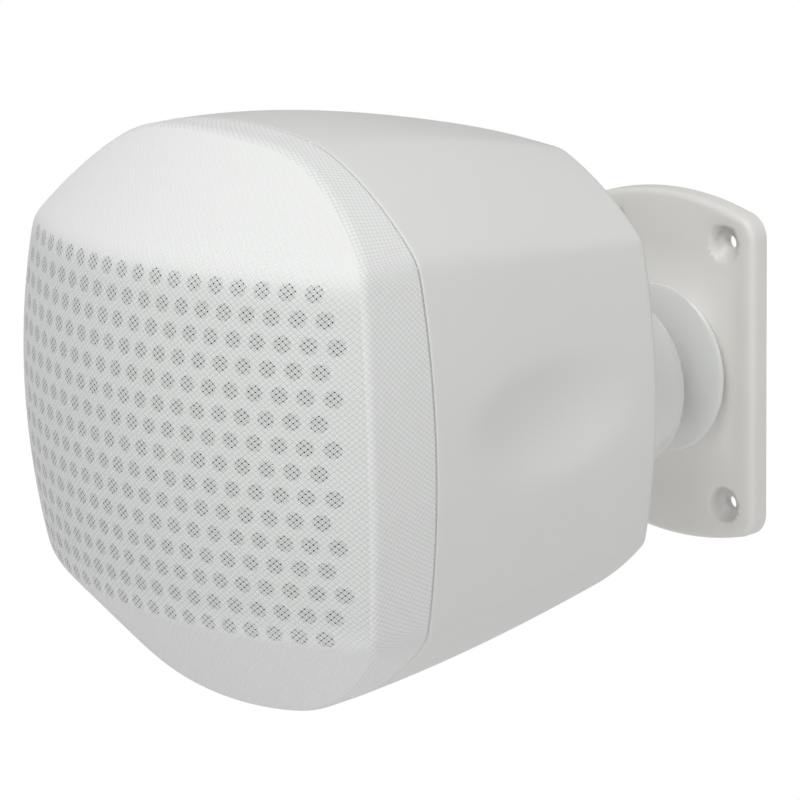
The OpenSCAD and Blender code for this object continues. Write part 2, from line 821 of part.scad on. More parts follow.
module contact_spring_red() {
    color([0.8, 0.68, 0.4]) translate([lever_x, 0, 0]) contact_spring();
}

module contact_spring_black() {
    color([0.8, 0.68, 0.4]) translate([-lever_x, 0, 0]) contact_spring();
}

// Round tube swept along a route, with one ring at each of its points
module swept_wire(route, r) {
    sides = 8;
    last = len(route) - 1;
    function tangent(i) = let (d = route[min(i + 1, last)] - route[max(i - 1, 0)]) d / norm(d);
    function across(i) = let (c = cross(tangent(i), [1, 0, 0])) c / norm(c);
    function ring(i) = let (t = tangent(i), u = across(i), v = cross(t, u)) [
        for (k = [0 : sides - 1]) route[i] + r * (cos(360 * k / sides) * u + sin(360 * k / sides) * v)
    ];
    points = [for (i = [0 : last]) each ring(i)];
    walls = [
        for (i = [0 : last - 1], k = [0 : sides - 1]) [
            i * sides + k, i * sides + (k + 1) % sides,
            (i + 1) * sides + (k + 1) % sides, (i + 1) * sides + k
        ]
    ];
    first_cap = [for (k = [sides - 1 : -1 : 0]) k];
    last_cap = [for (k = [0 : sides - 1]) last * sides + k];
    polyhedron(points, concat([first_cap], walls, [last_cap]));
}

module hookup_wire_red() {
    color([0.75, 0.1, 0.1]) swept_wire(wire_red_route, wire_r);
}

module hookup_wire_black() {
    color([0.12, 0.12, 0.12]) swept_wire(wire_black_route, wire_r);
}

// Fibre wad that lies on the cabinet's floor behind the magnet
module damping_wad() {
    wad_front = seam_y - gasket_t + yoke_z + plate_steel_t + wad_clear_front;
    wad_t = rear_face_y - cabinet_wall - wad_clear_rear - wad_front;
    color([0.85, 0.85, 0.8]) intersection() {
        cabinet_loft(cabinet_wall + 0.3, 60);
        translate([-front_w, wad_front, axis_rise - front_h])
            cube([2 * front_w, wad_t, front_h - wad_clear_top]);
    }
}

module baffle_gasket() {
    color([0.15, 0.15, 0.15]) rearward(seam_y + baffle_t, axis_rise) linear_extrude(gasket_t)
        difference() {
            front_outline(baffle_inset + 0.6);
            front_outline(ledge_inset);
        }
}

module baffle() {
    socket_r = peg_d / 2 + fit;
    color([0.16, 0.16, 0.17]) rearward(seam_y, axis_rise) difference() {
        union() {
            linear_extrude(baffle_t) front_outline(baffle_inset);
            translate([0, 0, -baffle_rim_h]) linear_extrude(baffle_rim_h + baffle_t / 2)
                difference() {
                    front_outline(baffle_inset);
                    front_outline(baffle_inset + baffle_rim_t);
                }
            for (sx = [-1, 1], sz = [-1, 1]) {
                translate([sx * peg_x, sz * peg_z, 0])
                    cylinder(r = socket_r + socket_wall, h = peg_l + socket_floor);
            }
            for (turn = [45 : 90 : 315]) {
                rotate(turn) translate([driver_screw_r, 0, 0])
                    cylinder(r = driver_boss_r, h = driver_boss_l);
            }
        }
        translate([0, 0, -eps]) cylinder(r = bowl_r + fit, h = driver_boss_l + 2 * eps);
        for (sx = [-1, 1], sz = [-1, 1]) {
            translate([sx * peg_x, sz * peg_z, -eps])
                cylinder(r = socket_r, h = peg_l + socket_floor / 2 + eps);
        }
        for (turn = [45 : 90 : 315]) {
            rotate(turn) translate([driver_screw_r, 0, -eps])
                cylinder(d = small_screw_d + run_fit, h = driver_boss_l);
        }
        for (place = baffle_screw_places) {
            translate([place[0], place[1], -eps])
                cylinder(d = small_screw_d + 2 * fit, h = baffle_t + 2 * eps);
        }
    }
}

module baffle_screws() {
    color([0.2, 0.2, 0.2]) rearward(seam_y, axis_rise) for (place = baffle_screw_places) {
        translate([place[0], place[1], 0])
            screw(small_screw_d, small_screw_l, small_head_d, small_head_h);
    }
}

// Solid of the front cover drawn in by inset: the outline's prism, cut by a surface of revolution
// whose profile is a shallow arc across the band and a slanted line above and below it
module cover_form(inset, back_y) {
    edge_r = band_r - band_side_r + sqrt(pow(band_side_r, 2) - pow(band_h / 2, 2));
    tip_r = edge_r + lens_slope * band_h / 2 - inset * sqrt(1 + lens_slope * lens_slope);
    intersection() {
        rearward(apex_y - eps, axis_rise) linear_extrude(back_y - apex_y + eps)
            front_outline(inset);
        translate([0, apex_y + band_r, axis_rise]) rotate_extrude($fn = 180) intersection() {
            translate([band_r - band_side_r, 0])
                circle(r = band_side_r - inset, $fn = arc_fn);
            polygon([[0, -tip_r / lens_slope], [tip_r, 0], [0, tip_r / lens_slope]]);
        }
    }
}

// Staggered rows of round perforations
module perforations() {
    half_rows = floor(band_h / 2 / row_pitch);
    middle_count = 2 * floor(front_w / hole_pitch / 2) - 1;
    for (row = [-half_rows : half_rows]) {
        count = middle_count + abs(row) % 2 - (abs(row) == half_rows ? 2 : 0);
        for (i = [0 : count - 1]) {
            rearward(apex_y - eps, axis_rise + row * row_pitch, (i - (count - 1) / 2) * hole_pitch)
                cylinder(d = hole_d, h = cover_d - 4, $fn = 24);
        }
    }
}

module front_grille() {
    color([0.8, 0.8, 0.8]) difference() {
        union() {
            difference() {
                cover_form(panel_o, seam_y - seam_gap);
                cover_form(panel_o + panel_t, seam_y);
            }
            intersection() {
                cover_form(panel_o + panel_t / 2, seam_y);
                for (sx = [-1, 1], sz = [-1, 1]) {
                    rearward(apex_y, axis_rise + sz * peg_z, sx * peg_x)
                        cylinder(d = post_d, h = cover_d);
                }
            }
            for (sx = [-1, 1], sz = [-1, 1]) {
                rearward(seam_y - 2, axis_rise + sz * peg_z, sx * peg_x)
                    cylinder(d = peg_d, h = peg_l + 2);
            }
        }
        perforations();
    }
}

module grille_cloth() {
    color([0.9, 0.9, 0.89]) difference() {
        cover_form(0, seam_y - seam_gap);
        cover_form(cloth_t, seam_y);
    }
}

// Places a driver part, its Z running rearward from the rear of the flange
module driver_place() {
    rearward(seam_y - gasket_t, axis_rise) children();
}

module driver_basket() {
    t = basket_t;
    color([0.12, 0.12, 0.13]) driver_place() difference() {
        rotate_extrude() polygon([
            [flange_r, -t], [flange_r, 0], [bowl_r, 0], [bowl_r - 10, spider_z + t],
            [ledge_r + t, spider_z + t], [ledge_r + t, basket_d], [gap_r + 0.6, basket_d],
            [gap_r + 0.6, basket_d - t], [ledge_r, basket_d - t], [ledge_r, spider_z],
            [bowl_r - 11, spider_z], [bowl_r - 1.4, -t]
        ]);
        for (turn = [45 : 90 : 315]) {
            rotate(turn) translate([driver_screw_r, 0, -t - eps])
                cylinder(d = small_screw_d + 2 * fit, h = t + 2 * eps);
        }
        for (turn = [0 : 60 : 300]) {
            rotate(turn + 30) translate([ledge_r, -window_w / 2, window_front])
                cube([flange_r - ledge_r, window_w, spider_z - window_front - window_rear]);
        }
    }
}

module driver_gasket() {
    color([0.1, 0.1, 0.1]) driver_place() difference() {
        cylinder(r = flange_r, h = gasket_t);
        translate([0, 0, -eps]) cylinder(r = bowl_r + 0.6, h = gasket_t + 2 * eps);
        for (turn = [45 : 90 : 315]) {
            rotate(turn) translate([driver_screw_r, 0, -eps])
                cylinder(d = small_screw_d + 2 * fit, h = gasket_t + 2 * eps);
        }
    }
}

module driver_screws() {
    color([0.15, 0.15, 0.15]) driver_place() for (turn = [45 : 90 : 315]) {
        rotate(turn) translate([driver_screw_r, 0, -basket_t])
            screw(small_screw_d, driver_screw_l, driver_head_d, driver_head_h);
    }
}

// Half roll of rubber between the cone's edge and the flange
module surround() {
    t = surround_t;
    roll_at = cone_r + roll_r + t;
    color([0.08, 0.08, 0.08]) driver_place() translate([0, 0, -basket_t]) rotate_extrude() union() {
        intersection() {
            translate([roll_at, 0]) difference() {
                circle(r = roll_r + t / 2);
                circle(r = roll_r - t / 2);
            }
            translate([0, -2 * roll_r]) square([flange_r, 2 * roll_r]);
        }
        translate([cone_r - 1.6, -t]) square([1.6 + t, t]);
        translate([roll_at + roll_r - t / 2, -t])
            square([driver_screw_r - 2.8 - roll_at - roll_r + t / 2, t]);
    }
}

module cone() {
    front_z = -basket_t;
    neck_z = front_z + cone_h;
    inner_r = former_r + run_fit / 2;
    color([0.1, 0.1, 0.1]) driver_place() rotate_extrude() polygon([
        [cone_r + 0.3, front_z], [cone_r + 0.3, front_z + cone_t],
        [cone_r - 1.8, front_z + cone_t], [inner_r, neck_z + cone_t],
        [inner_r, neck_z], [cone_r - 1.6, front_z]
    ]);
}

module dust_cap() {
    cap_r = 15;
    dome_r = 20;
    rise = (cap_r - former_r) * cone_h / (cone_r - 1.6 - former_r);
    base_z = cone_h - basket_t - rise - fit;
    color([0.1, 0.1, 0.1]) driver_place() intersection() {
        translate([0, 0, base_z + sqrt(dome_r * dome_r - cap_r * cap_r)]) difference() {
            sphere(r = dome_r);
            sphere(r = dome_r - 0.5);
        }
        translate([0, 0, base_z - dome_r]) cylinder(r = cap_r, h = dome_r);
    }
}

module voice_coil() {
    start_z = cone_h - basket_t - 0.5;
    winding_z = top_plate_z - 1.5;
    winding_l = plate_steel_t + 3;
    color([0.7, 0.4, 0.2]) driver_place() difference() {
        union() {
            translate([0, 0, start_z])
                cylinder(r = former_r, h = winding_z + winding_l - start_z);
            translate([0, 0, winding_z]) cylinder(r = winding_r, h = winding_l);
        }
        translate([0, 0, start_z - eps]) cylinder(d = coil_d, h = basket_d + 3 * plate_steel_t);
    }
}

// Corrugated cloth disc that centres the coil
module spider() {
    waves = 4;
    steps = 6 * waves;
    start_r = former_r + run_fit / 2;
    end_r = ledge_r + spider_rim;
    rise = [for (i = [0 : steps]) [
        start_r + (ledge_r - 0.5 - start_r) * i / steps,
        -spider_wave_h * (1 - cos(360 * waves * i / steps)) / 2
    ]];
    color([0.85, 0.7, 0.4]) driver_place() translate([0, 0, spider_z]) rotate_extrude()
        polygon(concat(
            [for (p = rise) [p[0], p[1] - spider_t]], [[end_r, -spider_t], [end_r, 0]],
            [for (i = [steps : -1 : 0]) rise[i]]
        ));
}

module top_plate() {
    color([0.6, 0.6, 0.62]) driver_place() translate([0, 0, top_plate_z]) difference() {
        cylinder(r = magnet_d / 2 - 5, h = plate_steel_t);
        translate([0, 0, -eps]) cylinder(r = gap_r, h = plate_steel_t + 2 * eps);
    }
}

module magnet() {
    color([0.2, 0.2, 0.21]) driver_place() translate([0, 0, magnet_z]) difference() {
        cylinder(d = magnet_d, h = magnet_t);
        translate([0, 0, -eps]) cylinder(r = gap_r + 3, h = magnet_t + 2 * eps);
    }
}

module yoke() {
    plate_r = magnet_d / 2 - 5;
    color([0.6, 0.6, 0.62]) driver_place() rotate_extrude() polygon([
        [0, top_plate_z], [pole_r - 0.5, top_plate_z], [pole_r, top_plate_z + 0.5],
        [pole_r, yoke_z], [plate_r, yoke_z], [plate_r, yoke_z + plate_steel_t - 1],
        [plate_r - 1, yoke_z + plate_steel_t], [0, yoke_z + plate_steel_t]
    ]);
}

// Fibre strip with the driver's two tags, on the basket above the magnet
module terminal_strip() {
    strip_y = -(ledge_r + basket_t + run_fit);
    color([0.5, 0.35, 0.2]) driver_place() union() {
        translate([-strip_w / 2, strip_y - strip_t, spider_z + basket_t])
            cube([strip_w, strip_t, basket_d - spider_z]);
        for (side = [-1, 1]) {
            translate([
                side * strip_w / 4 - strip_tag_w / 2, strip_y - strip_tag_l - fit,
                strip_tag_z - strip_tag_t / 2
            ]) cube([strip_tag_w, strip_tag_l, strip_tag_t]);
        }
    }
}

wall_plate();
boss_cover();
ball_stud();
stud_nut();
seat_ring_wall();
seat_ring_arm();
clamp_ring();
swivel_arm();
arm_screws();
cabinet();
terminal_cup();
cup_screws();
terminal_lever_red();
terminal_lever_black();
contact_spring_red();
contact_spring_black();
hookup_wire_red();
hookup_wire_black();
damping_wad();
baffle_gasket();
baffle();
baffle_screws();
front_grille();
grille_cloth();
driver_basket();
driver_gasket();
driver_screws();
surround();
cone();
dust_cap();
voice_coil();
spider();
top_plate();
magnet();
yoke();
terminal_strip();
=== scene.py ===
"""Dresses a wall and ceiling mount loudspeaker and sets its studio.

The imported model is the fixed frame. The cabinet's shell, the stretched cloth, the boss's cover and
the clamp ring are modelled here as smooth surfaces. The front panel and the mounting plate are
merged copies of their solids, and every other part keeps its own solid and gets its finish.
Lengths are in metres unless a class says millimetres, +Z is up and the wall is the plane y = 0.
"""

from __future__ import annotations

import logging
import math
from dataclasses import dataclass, field
from enum import Enum

import bmesh
import bpy
import numpy as np
from mathutils import Matrix, Vector

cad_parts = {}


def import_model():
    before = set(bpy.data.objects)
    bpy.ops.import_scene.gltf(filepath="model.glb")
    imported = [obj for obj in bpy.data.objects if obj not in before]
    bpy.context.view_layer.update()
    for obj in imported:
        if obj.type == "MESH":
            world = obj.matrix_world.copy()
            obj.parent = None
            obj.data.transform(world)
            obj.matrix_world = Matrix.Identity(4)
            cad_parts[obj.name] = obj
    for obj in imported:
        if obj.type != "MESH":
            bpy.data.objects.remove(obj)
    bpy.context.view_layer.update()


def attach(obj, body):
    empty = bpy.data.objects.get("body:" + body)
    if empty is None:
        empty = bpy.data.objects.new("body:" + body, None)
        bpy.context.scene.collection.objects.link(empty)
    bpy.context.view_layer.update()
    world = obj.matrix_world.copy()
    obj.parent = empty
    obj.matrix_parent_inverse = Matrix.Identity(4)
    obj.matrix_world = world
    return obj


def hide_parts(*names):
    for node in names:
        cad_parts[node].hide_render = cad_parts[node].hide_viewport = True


LOG = logging.getLogger("loudspeaker")
MM = 0.001
MERGE_DISTANCE = 2e-6
LEAST_EDGE = 1e-6

Array = np.ndarray
Node = bpy.types.Node
Socket = bpy.types.NodeSocket


# Forms that more than one part uses


def soft_least(values: Array, softness: float | Array) -> Array:
    """Least value along the first axis, rounded where two values meet.

    Minus the softness times the logarithm of the summed exponentials of the values over the
    softness, counted from the plain least value so that nothing overflows.

    Args:
        values: Array whose first axis is reduced.
        softness: Length over which two meeting values blend.

    Returns:
        The rounded least values.
    """
    least = values.min(axis=0)
    total = np.exp(-(values - least) / softness).sum(axis=0)
    return least - softness * np.log(total)


def bezier_corner(start: Array, corner: Array, end: Array, steps: int) -> Array:
    """Quadratic curve from start to end that is pulled towards a corner.

    Args:
        start: Points where the rounding begins, last axis the coordinates.
        corner: The sharp corner's points.
        end: Points where the rounding ends.
        steps: Number of rows.

    Returns:
        Array with a new first axis of that many rows.
    """
    t = np.linspace(0.0, 1.0, steps).reshape(-1, *([1] * start.ndim))
    return (1 - t) ** 2 * start + 2 * t * (1 - t) * corner + t**2 * end


@dataclass(frozen=True)
class BowedOutline:
    """Eight sided outline with bowed edges, the cut through eight large discs."""

    width: float
    side_height: float
    top_width: float
    height: float
    side_bow: float
    corner_bow: float
    top_bow: float
    chord_depth: float = 0.005

    def discs(self) -> tuple[Array, Array, Array, Array]:
        """Bowed edges as discs, each with a line a little inside its chord.

        Returns:
            The discs' centres and radii, the edges' outward directions and the distances of
            the lines from the axis.
        """
        side = np.array([self.width / 2, self.side_height / 2])
        top = np.array([self.top_width / 2, self.height / 2])
        edges = [
            (side * [1, -1], side, self.side_bow),
            (side, top, self.corner_bow),
            (top, top * [-1, 1], self.top_bow),
        ]
        centres, radii, normals, lines = [], [], [], []
        for a, b, bow in edges:
            half = np.linalg.norm(b - a) / 2
            radius = (half * half + bow * bow) / (2 * bow)
            run = (b - a) / (2 * half)
            outward = np.array([run[1], -run[0]])
            centre = (a + b) / 2 + outward * (bow - radius)
            for flip in ([1, 1], [-1, 1], [1, -1], [-1, -1]):
                centres.append(centre * flip)
                radii.append(radius)
                normals.append(outward * flip)
                lines.append((a + b) / 2 @ outward - self.chord_depth)
        return np.array(centres), np.array(radii), np.array(normals), np.array(lines)

    def radius(self, theta: Array, inset: float = 0.0, softness: float = 0.0007) -> Array:
        """Distance from the axis to the outline in each direction.

        The distance to a disc's rim along a direction is the direction's product with the
        centre plus the root of what is left of the radius. Where the edge's inner line lies
        farther out than the rim, the line counts, and the nearest edge of all counts.

        Args:
            theta: Directions about the axis in radians.
            inset: How far the outline is drawn in.
            softness: Rounding of the corners.

        Returns:
            One distance for each direction.
        """
        centres, radii, normals, lines = self.discs()
        ray = np.stack([np.cos(theta), np.sin(theta)])
        along = centres @ ray
        rest = (radii - inset)[:, None] ** 2 - (centres**2).sum(1)[:, None] + along**2
        rims = along + np.sqrt(np.maximum(rest, 0.0))
        facing = np.maximum(normals @ ray, 1e-3)
        return soft_least(np.maximum(rims, (lines - inset)[:, None] / facing), softness)


def lerp(a: float, b: float, share: float) -> float:
    """Value at a share of the way from a to b."""
    return a + (b - a) * share


@dataclass(frozen=True)
class BodyForm:
    """Outer form of the cabinet and its front cover, in metres."""

    front: BowedOutline = BowedOutline(
        0.1414, 0.1036, 0.0584, 0.1626, 0.0052, 0.0035, 0.0023
    )
    rear: BowedOutline = BowedOutline(
        0.1422, 0.0892, 0.0790, 0.1352, 0.0049, 0.0021, 0.0022
    )
    crown: float = 0.0022
    axis_rise: float = 0.020
    apex_y: float = -0.2272
    seam_y: float = -0.1804
    rear_edge_y: float = -0.0939
    rear_face_y: float = -0.0899
    rear_inset: float = 0.008
    wall: float = 0.003
    band_radius: float = 0.1373
    band_side_radius: float = 0.252
    band_half: float = 0.0507
    lens_slope: float = 0.85
    seam_gap: float = 0.0004
    front_softness: float = 0.0007
    rear_softness: float = 0.0002
    band_softness: float = 0.0006

    def station(self, share: float) -> BowedOutline:
        """Outline at a share of the way from the seam to the rear edge."""
        f, r = self.front, self.rear
        return BowedOutline(
            lerp(f.width, r.width, share),
            lerp(f.side_height, r.side_height, share),
            lerp(f.top_width, r.top_width, share),
            lerp(f.height, r.height, share) + 8 * self.crown * share * (1 - share),
            lerp(f.side_bow, r.side_bow, share),
            lerp(f.corner_bow, r.corner_bow, share),
            lerp(f.top_bow, r.top_bow, share),
        )

    def ring(self, theta: Array, y: float, inset: float) -> Array:
        """Outline of the cabinet at one depth, as points with the axis raised.

        Args:
            theta: Directions about the cabinet's axis.
            y: Depth of the ring.
            inset: How far it is drawn in.

        Returns:
            Points of shape (directions, 3).
        """
        share = float(np.clip((y - self.seam_y) / (self.rear_edge_y - self.seam_y), 0, 1))
        softness = lerp(self.front_softness, self.rear_softness, share)
        r = self.station(share).radius(theta, inset, softness)
        return np.stack(
            [r * np.cos(theta), np.full_like(r, y), self.axis_rise + r * np.sin(theta)], -1
        )

    def front_y(self, x: Array, z: Array) -> Array:
        """Depth of the cover's front over a point, z counted from the cabinet's axis.

        The front is a surface of revolution about an upright axis: its radius is the shallow
        arc of the band, or the slanted line of the lens above and below, whichever is less.

        Args:
            x: Distances to the side.
            z: Heights above the cabinet's axis.

        Returns:
            The y of the front.
        """
        arc_centre = self.band_radius - self.band_side_radius
        arc = arc_centre + np.sqrt(self.band_side_radius**2 - z**2)
        edge = arc_centre + math.sqrt(self.band_side_radius**2 - self.band_half**2)
        slant = edge - self.lens_slope * (np.abs(z) - self.band_half)
        radius = soft_least(np.stack([arc, slant]), self.band_softness)
        return self.apex_y + self.band_radius - np.sqrt(np.maximum(radius**2 - x**2, 1e-8))


@dataclass(frozen=True)
class FingerDish:
    """Shallow spindle shaped dish in each side of the cabinet."""

    length: float = 0.060
    height: float = 0.034
    depth: float = 0.0035
    side_x: float = 0.07595
    centre_y: float = -0.13715
    centre_z: float = 0.022
    softness: float = 0.0008
    reach_limit: float = 0.9
    near_share: float = 0.8
    near_softness: float = 10.0

    def carve(self, points: Array, grow: float = 0.0) -> Array:
        """Moves the points of both sides in to the spindle.

        The spindle's radius at a depth is its largest radius less the sagitta of its long arc.
        A point inside it moves to the spindle's near face, rounded at the dish's rim.

        Args:
            points: Points of any grid, last axis the coordinates.
            grow: How much wider the spindle is, for the wall's inner face.

        Returns:
            The moved points.
        """
        half = self.height / 2
        reach = (half**2 - self.depth**2) / (2 * self.depth)
        long_half = self.length / 2
        long_r = (long_half**2 + self.depth**2) / (2 * self.depth)
        limit = long_r * self.reach_limit
        along = np.clip(points[..., 1] - self.centre_y, -limit, limit)
        sagitta = long_r - np.sqrt(long_r**2 - along**2)
        spindle = reach + self.depth - sagitta + grow
        up = points[..., 2] - self.centre_z
        inside = np.maximum(spindle**2 - up**2, 0.0)
        face = self.side_x + reach - np.sqrt(inside)
        face = np.where(inside > 0, face, 1.0)
        x = np.abs(points[..., 0])
        close = face < x + self.near_softness * self.softness
        near = (x > self.side_x * self.near_share) & close
        cut = soft_least(np.stack([x, face]), self.softness)
        out = points.copy()
        out[..., 0] = np.sign(points[..., 0]) * np.where(near, cut, x)
        return out


# Meshes


def grid_faces(rows: int, columns: int, close_rows: bool) -> Array:
    """Quads of a grid that is closed round its columns.

    Args:
        rows: Number of rows.
        columns: Number of columns.
        close_rows: Whether the last row meets the first.

    Returns:
        Vertex numbers, four for each face.
    """
    last = rows if close_rows else rows - 1
    r, c = np.meshgrid(np.arange(last), np.arange(columns), indexing="ij")
    r2, c2 = (r + 1) % rows, (c + 1) % columns
    quads = [r * columns + c, r * columns + c2, r2 * columns + c2, r2 * columns + c]
    return np.stack(quads, -1).reshape(-1, 4)


def mesh_object(
    name: str,
    points: Array,
    faces: list[list[int]],
    uv: Array | None = None,
    sharp_deg: float = 180.0,
) -> bpy.types.Object:
    """Makes an object with outward faces and smooth shading.

    Args:
        name: Name of the object.
        points: Vertices of shape (count, 3).
        faces: Vertex numbers of each face.
        uv: One UV pair for each vertex, or None.
        sharp_deg: Angle past which an edge stays sharp.

    Returns:
        The new object, linked to the scene.
    """
    mesh = bpy.data.meshes.new(name)
    mesh.from_pydata(points.tolist(), [], faces)
    if uv is not None:
        layer = mesh.uv_layers.new(name="UVMap")
        corner = np.empty(len(mesh.loops), dtype=np.int32)
        mesh.loops.foreach_get("vertex_index", corner)
        layer.data.foreach_set("uv", uv[corner].astype(np.float32).ravel())
    work = bmesh.new()
    work.from_mesh(mesh)
    bmesh.ops.recalc_face_normals(work, faces=work.faces)
    work.to_mesh(mesh)
    work.free()
    mesh.polygons.foreach_set("use_smooth", np.ones(len(mesh.polygons), dtype=bool))
    if sharp_deg < 180.0:
        mesh.set_sharp_from_angle(angle=math.radians(sharp_deg))
    mesh.update()
    made = bpy.data.objects.new(name, mesh)
    bpy.context.scene.collection.objects.link(made)
    return made


def smoothed_copy(node: str, name: str, sharp_deg: float) -> bpy.types.Object:
    """Copy of a CAD node with merged corners and smooth shading up to an angle.

    Args:
        node: Name of the node.
        name: Name of the copy.
        sharp_deg: Angle past which an edge stays sharp.

    Returns:
        The copy, with no parent.
    """
    mesh = bpy.data.objects[node].data.copy()
    mesh.name = name
    work = bmesh.new()
    work.from_mesh(mesh)
    bmesh.ops.remove_doubles(work, verts=work.verts, dist=MERGE_DISTANCE)
    bmesh.ops.dissolve_degenerate(work, edges=work.edges, dist=LEAST_EDGE)
    work.to_mesh(mesh)
    work.free()
    mesh.polygons.foreach_set("use_smooth", np.ones(len(mesh.polygons), dtype=bool))
    mesh.set_sharp_from_angle(angle=math.radians(sharp_deg))
    mesh.update()
    made = bpy.data.objects.new(name, mesh)
    bpy.context.scene.collection.objects.link(made)
    return made


def turned(
    name: str, profile: Array, columns: int = 160, sharp_deg: float = 35.0
) -> bpy.types.Object:
    """Closed solid of revolution about the joint's axis, which is square to the wall.

    A row of the profile becomes a circle whose radius is the row's and whose depth is minus
    the row's reach.

    Args:
        name: Name of the object.
        profile: Reaches from the wall and radii, a closed loop of shape (rows, 2).
        columns: Number of steps round the axis.
        sharp_deg: Angle past which an edge stays sharp.

    Returns:
        The new object.
    """
    turn = np.linspace(0, 2 * math.pi, columns, endpoint=False)
    reach, radius = profile[:, :1], profile[:, 1:]
    points = np.stack(
        [radius * np.cos(turn), -reach + 0 * turn, radius * np.sin(turn)], -1
    )
    faces = grid_faces(len(profile), columns, True).tolist()
    return mesh_object(name, points.reshape(-1, 3), faces, sharp_deg=sharp_deg)


# Shader groups that several finishes share


class NodeGroup:
    """A shader group with named inputs and outputs, built once."""

    name = "Group"
    inputs: tuple[tuple[str, str, float], ...] = ()
    outputs: tuple[tuple[str, str], ...] = ()

    def tree(self) -> bpy.types.NodeTree:
        """The group's tree, made at its first use."""
        found = bpy.data.node_groups.get(self.name)
        if found is not None:
            return found
        tree = bpy.data.node_groups.new(self.name, "ShaderNodeTree")
        for label, kind, default in self.inputs:
            socket = tree.interface.new_socket(name=label, in_out="INPUT", socket_type=kind)
            if kind == "NodeSocketFloat":
                socket.default_value = default
        for label, kind in self.outputs:
            tree.interface.new_socket(name=label, in_out="OUTPUT", socket_type=kind)
        self.fill(tree)
        return tree

    def fill(self, tree: bpy.types.NodeTree) -> None:
        """Builds the nodes inside the group."""
        raise NotImplementedError

    def place(self, tree: bpy.types.NodeTree, **values: float) -> Node:
        """Puts the group into a material's tree with its own values.

        Args:
            tree: The material's node tree.
            **values: Input values, with underscores for the spaces in their names.

        Returns:
            The group node.
        """
        node = tree.nodes.new("ShaderNodeGroup")
        node.node_tree = self.tree()
        for key, value in values.items():
            node.inputs[key.replace("_", " ")].default_value = value
        return node


def math_node(
    tree: bpy.types.NodeTree, operation: str, a: Socket | float, b: Socket | float = 0.0
) -> Socket:
    """Adds a Math node and returns its output.

    Args:
        tree: Tree to add it to.
        operation: Blender's name of the operation.
        a: First value or socket.
        b: Second value or socket.

    Returns:
        The output socket.
    """
    node = tree.nodes.new("ShaderNodeMath")
    node.operation = operation
    for socket, value in zip(node.inputs, (a, b)):
        if isinstance(value, bpy.types.NodeSocket):
            tree.links.new(value, socket)
        else:
            socket.default_value = value
    return node.outputs[0]


def ramp_node(tree: bpy.types.NodeTree, value: Socket, low: float, high: float) -> Socket:
    """Smooth step of a value from 0 at low to 1 at high."""
    node = tree.nodes.new("ShaderNodeMapRange")
    node.interpolation_type = "SMOOTHSTEP"
    tree.links.new(value, node.inputs["Value"])
    node.inputs["From Min"].default_value = low
    node.inputs["From Max"].default_value = high
    return node.outputs["Result"]


class MouldGrain(NodeGroup):
    """Fine grain of a moulded surface with faint broad unevenness."""

    name = "Mould Grain"
    inputs = (
        ("Vector", "NodeSocketVector", 0.0),
        ("Grain Scale", "NodeSocketFloat", 2600.0),
        ("Broad Scale", "NodeSocketFloat", 22.0),
        ("Broad Amount", "NodeSocketFloat", 0.35),
    )
    outputs = (("Height", "NodeSocketFloat"), ("Broad", "NodeSocketFloat"))
    fine_detail = 3.0
    fine_roughness = 0.6
    broad_detail = 2.0

    def fill(self, tree: bpy.types.NodeTree) -> None:
        """Two noises: a fine one for the grain and a broad one for sinks and flow."""
        source = tree.nodes.new("NodeGroupInput")
        sink = tree.nodes.new("NodeGroupOutput")
        fine = tree.nodes.new("ShaderNodeTexNoise")
        fine.inputs["Detail"].default_value = self.fine_detail
        fine.inputs["Roughness"].default_value = self.fine_roughness
        broad = tree.nodes.new("ShaderNodeTexNoise")
        broad.inputs["Detail"].default_value = self.broad_detail
        for noise, label in ((fine, "Grain Scale"), (broad, "Broad Scale")):
            tree.links.new(source.outputs["Vector"], noise.inputs["Vector"])
            tree.links.new(source.outputs[label], noise.inputs["Scale"])
        weighted = math_node(
            tree, "MULTIPLY", broad.outputs["Fac"], source.outputs["Broad Amount"]
        )
        height = math_node(tree, "ADD", fine.outputs["Fac"], weighted)
        tree.links.new(height, sink.inputs["Height"])
        tree.links.new(broad.outputs["Fac"], sink.inputs["Broad"])


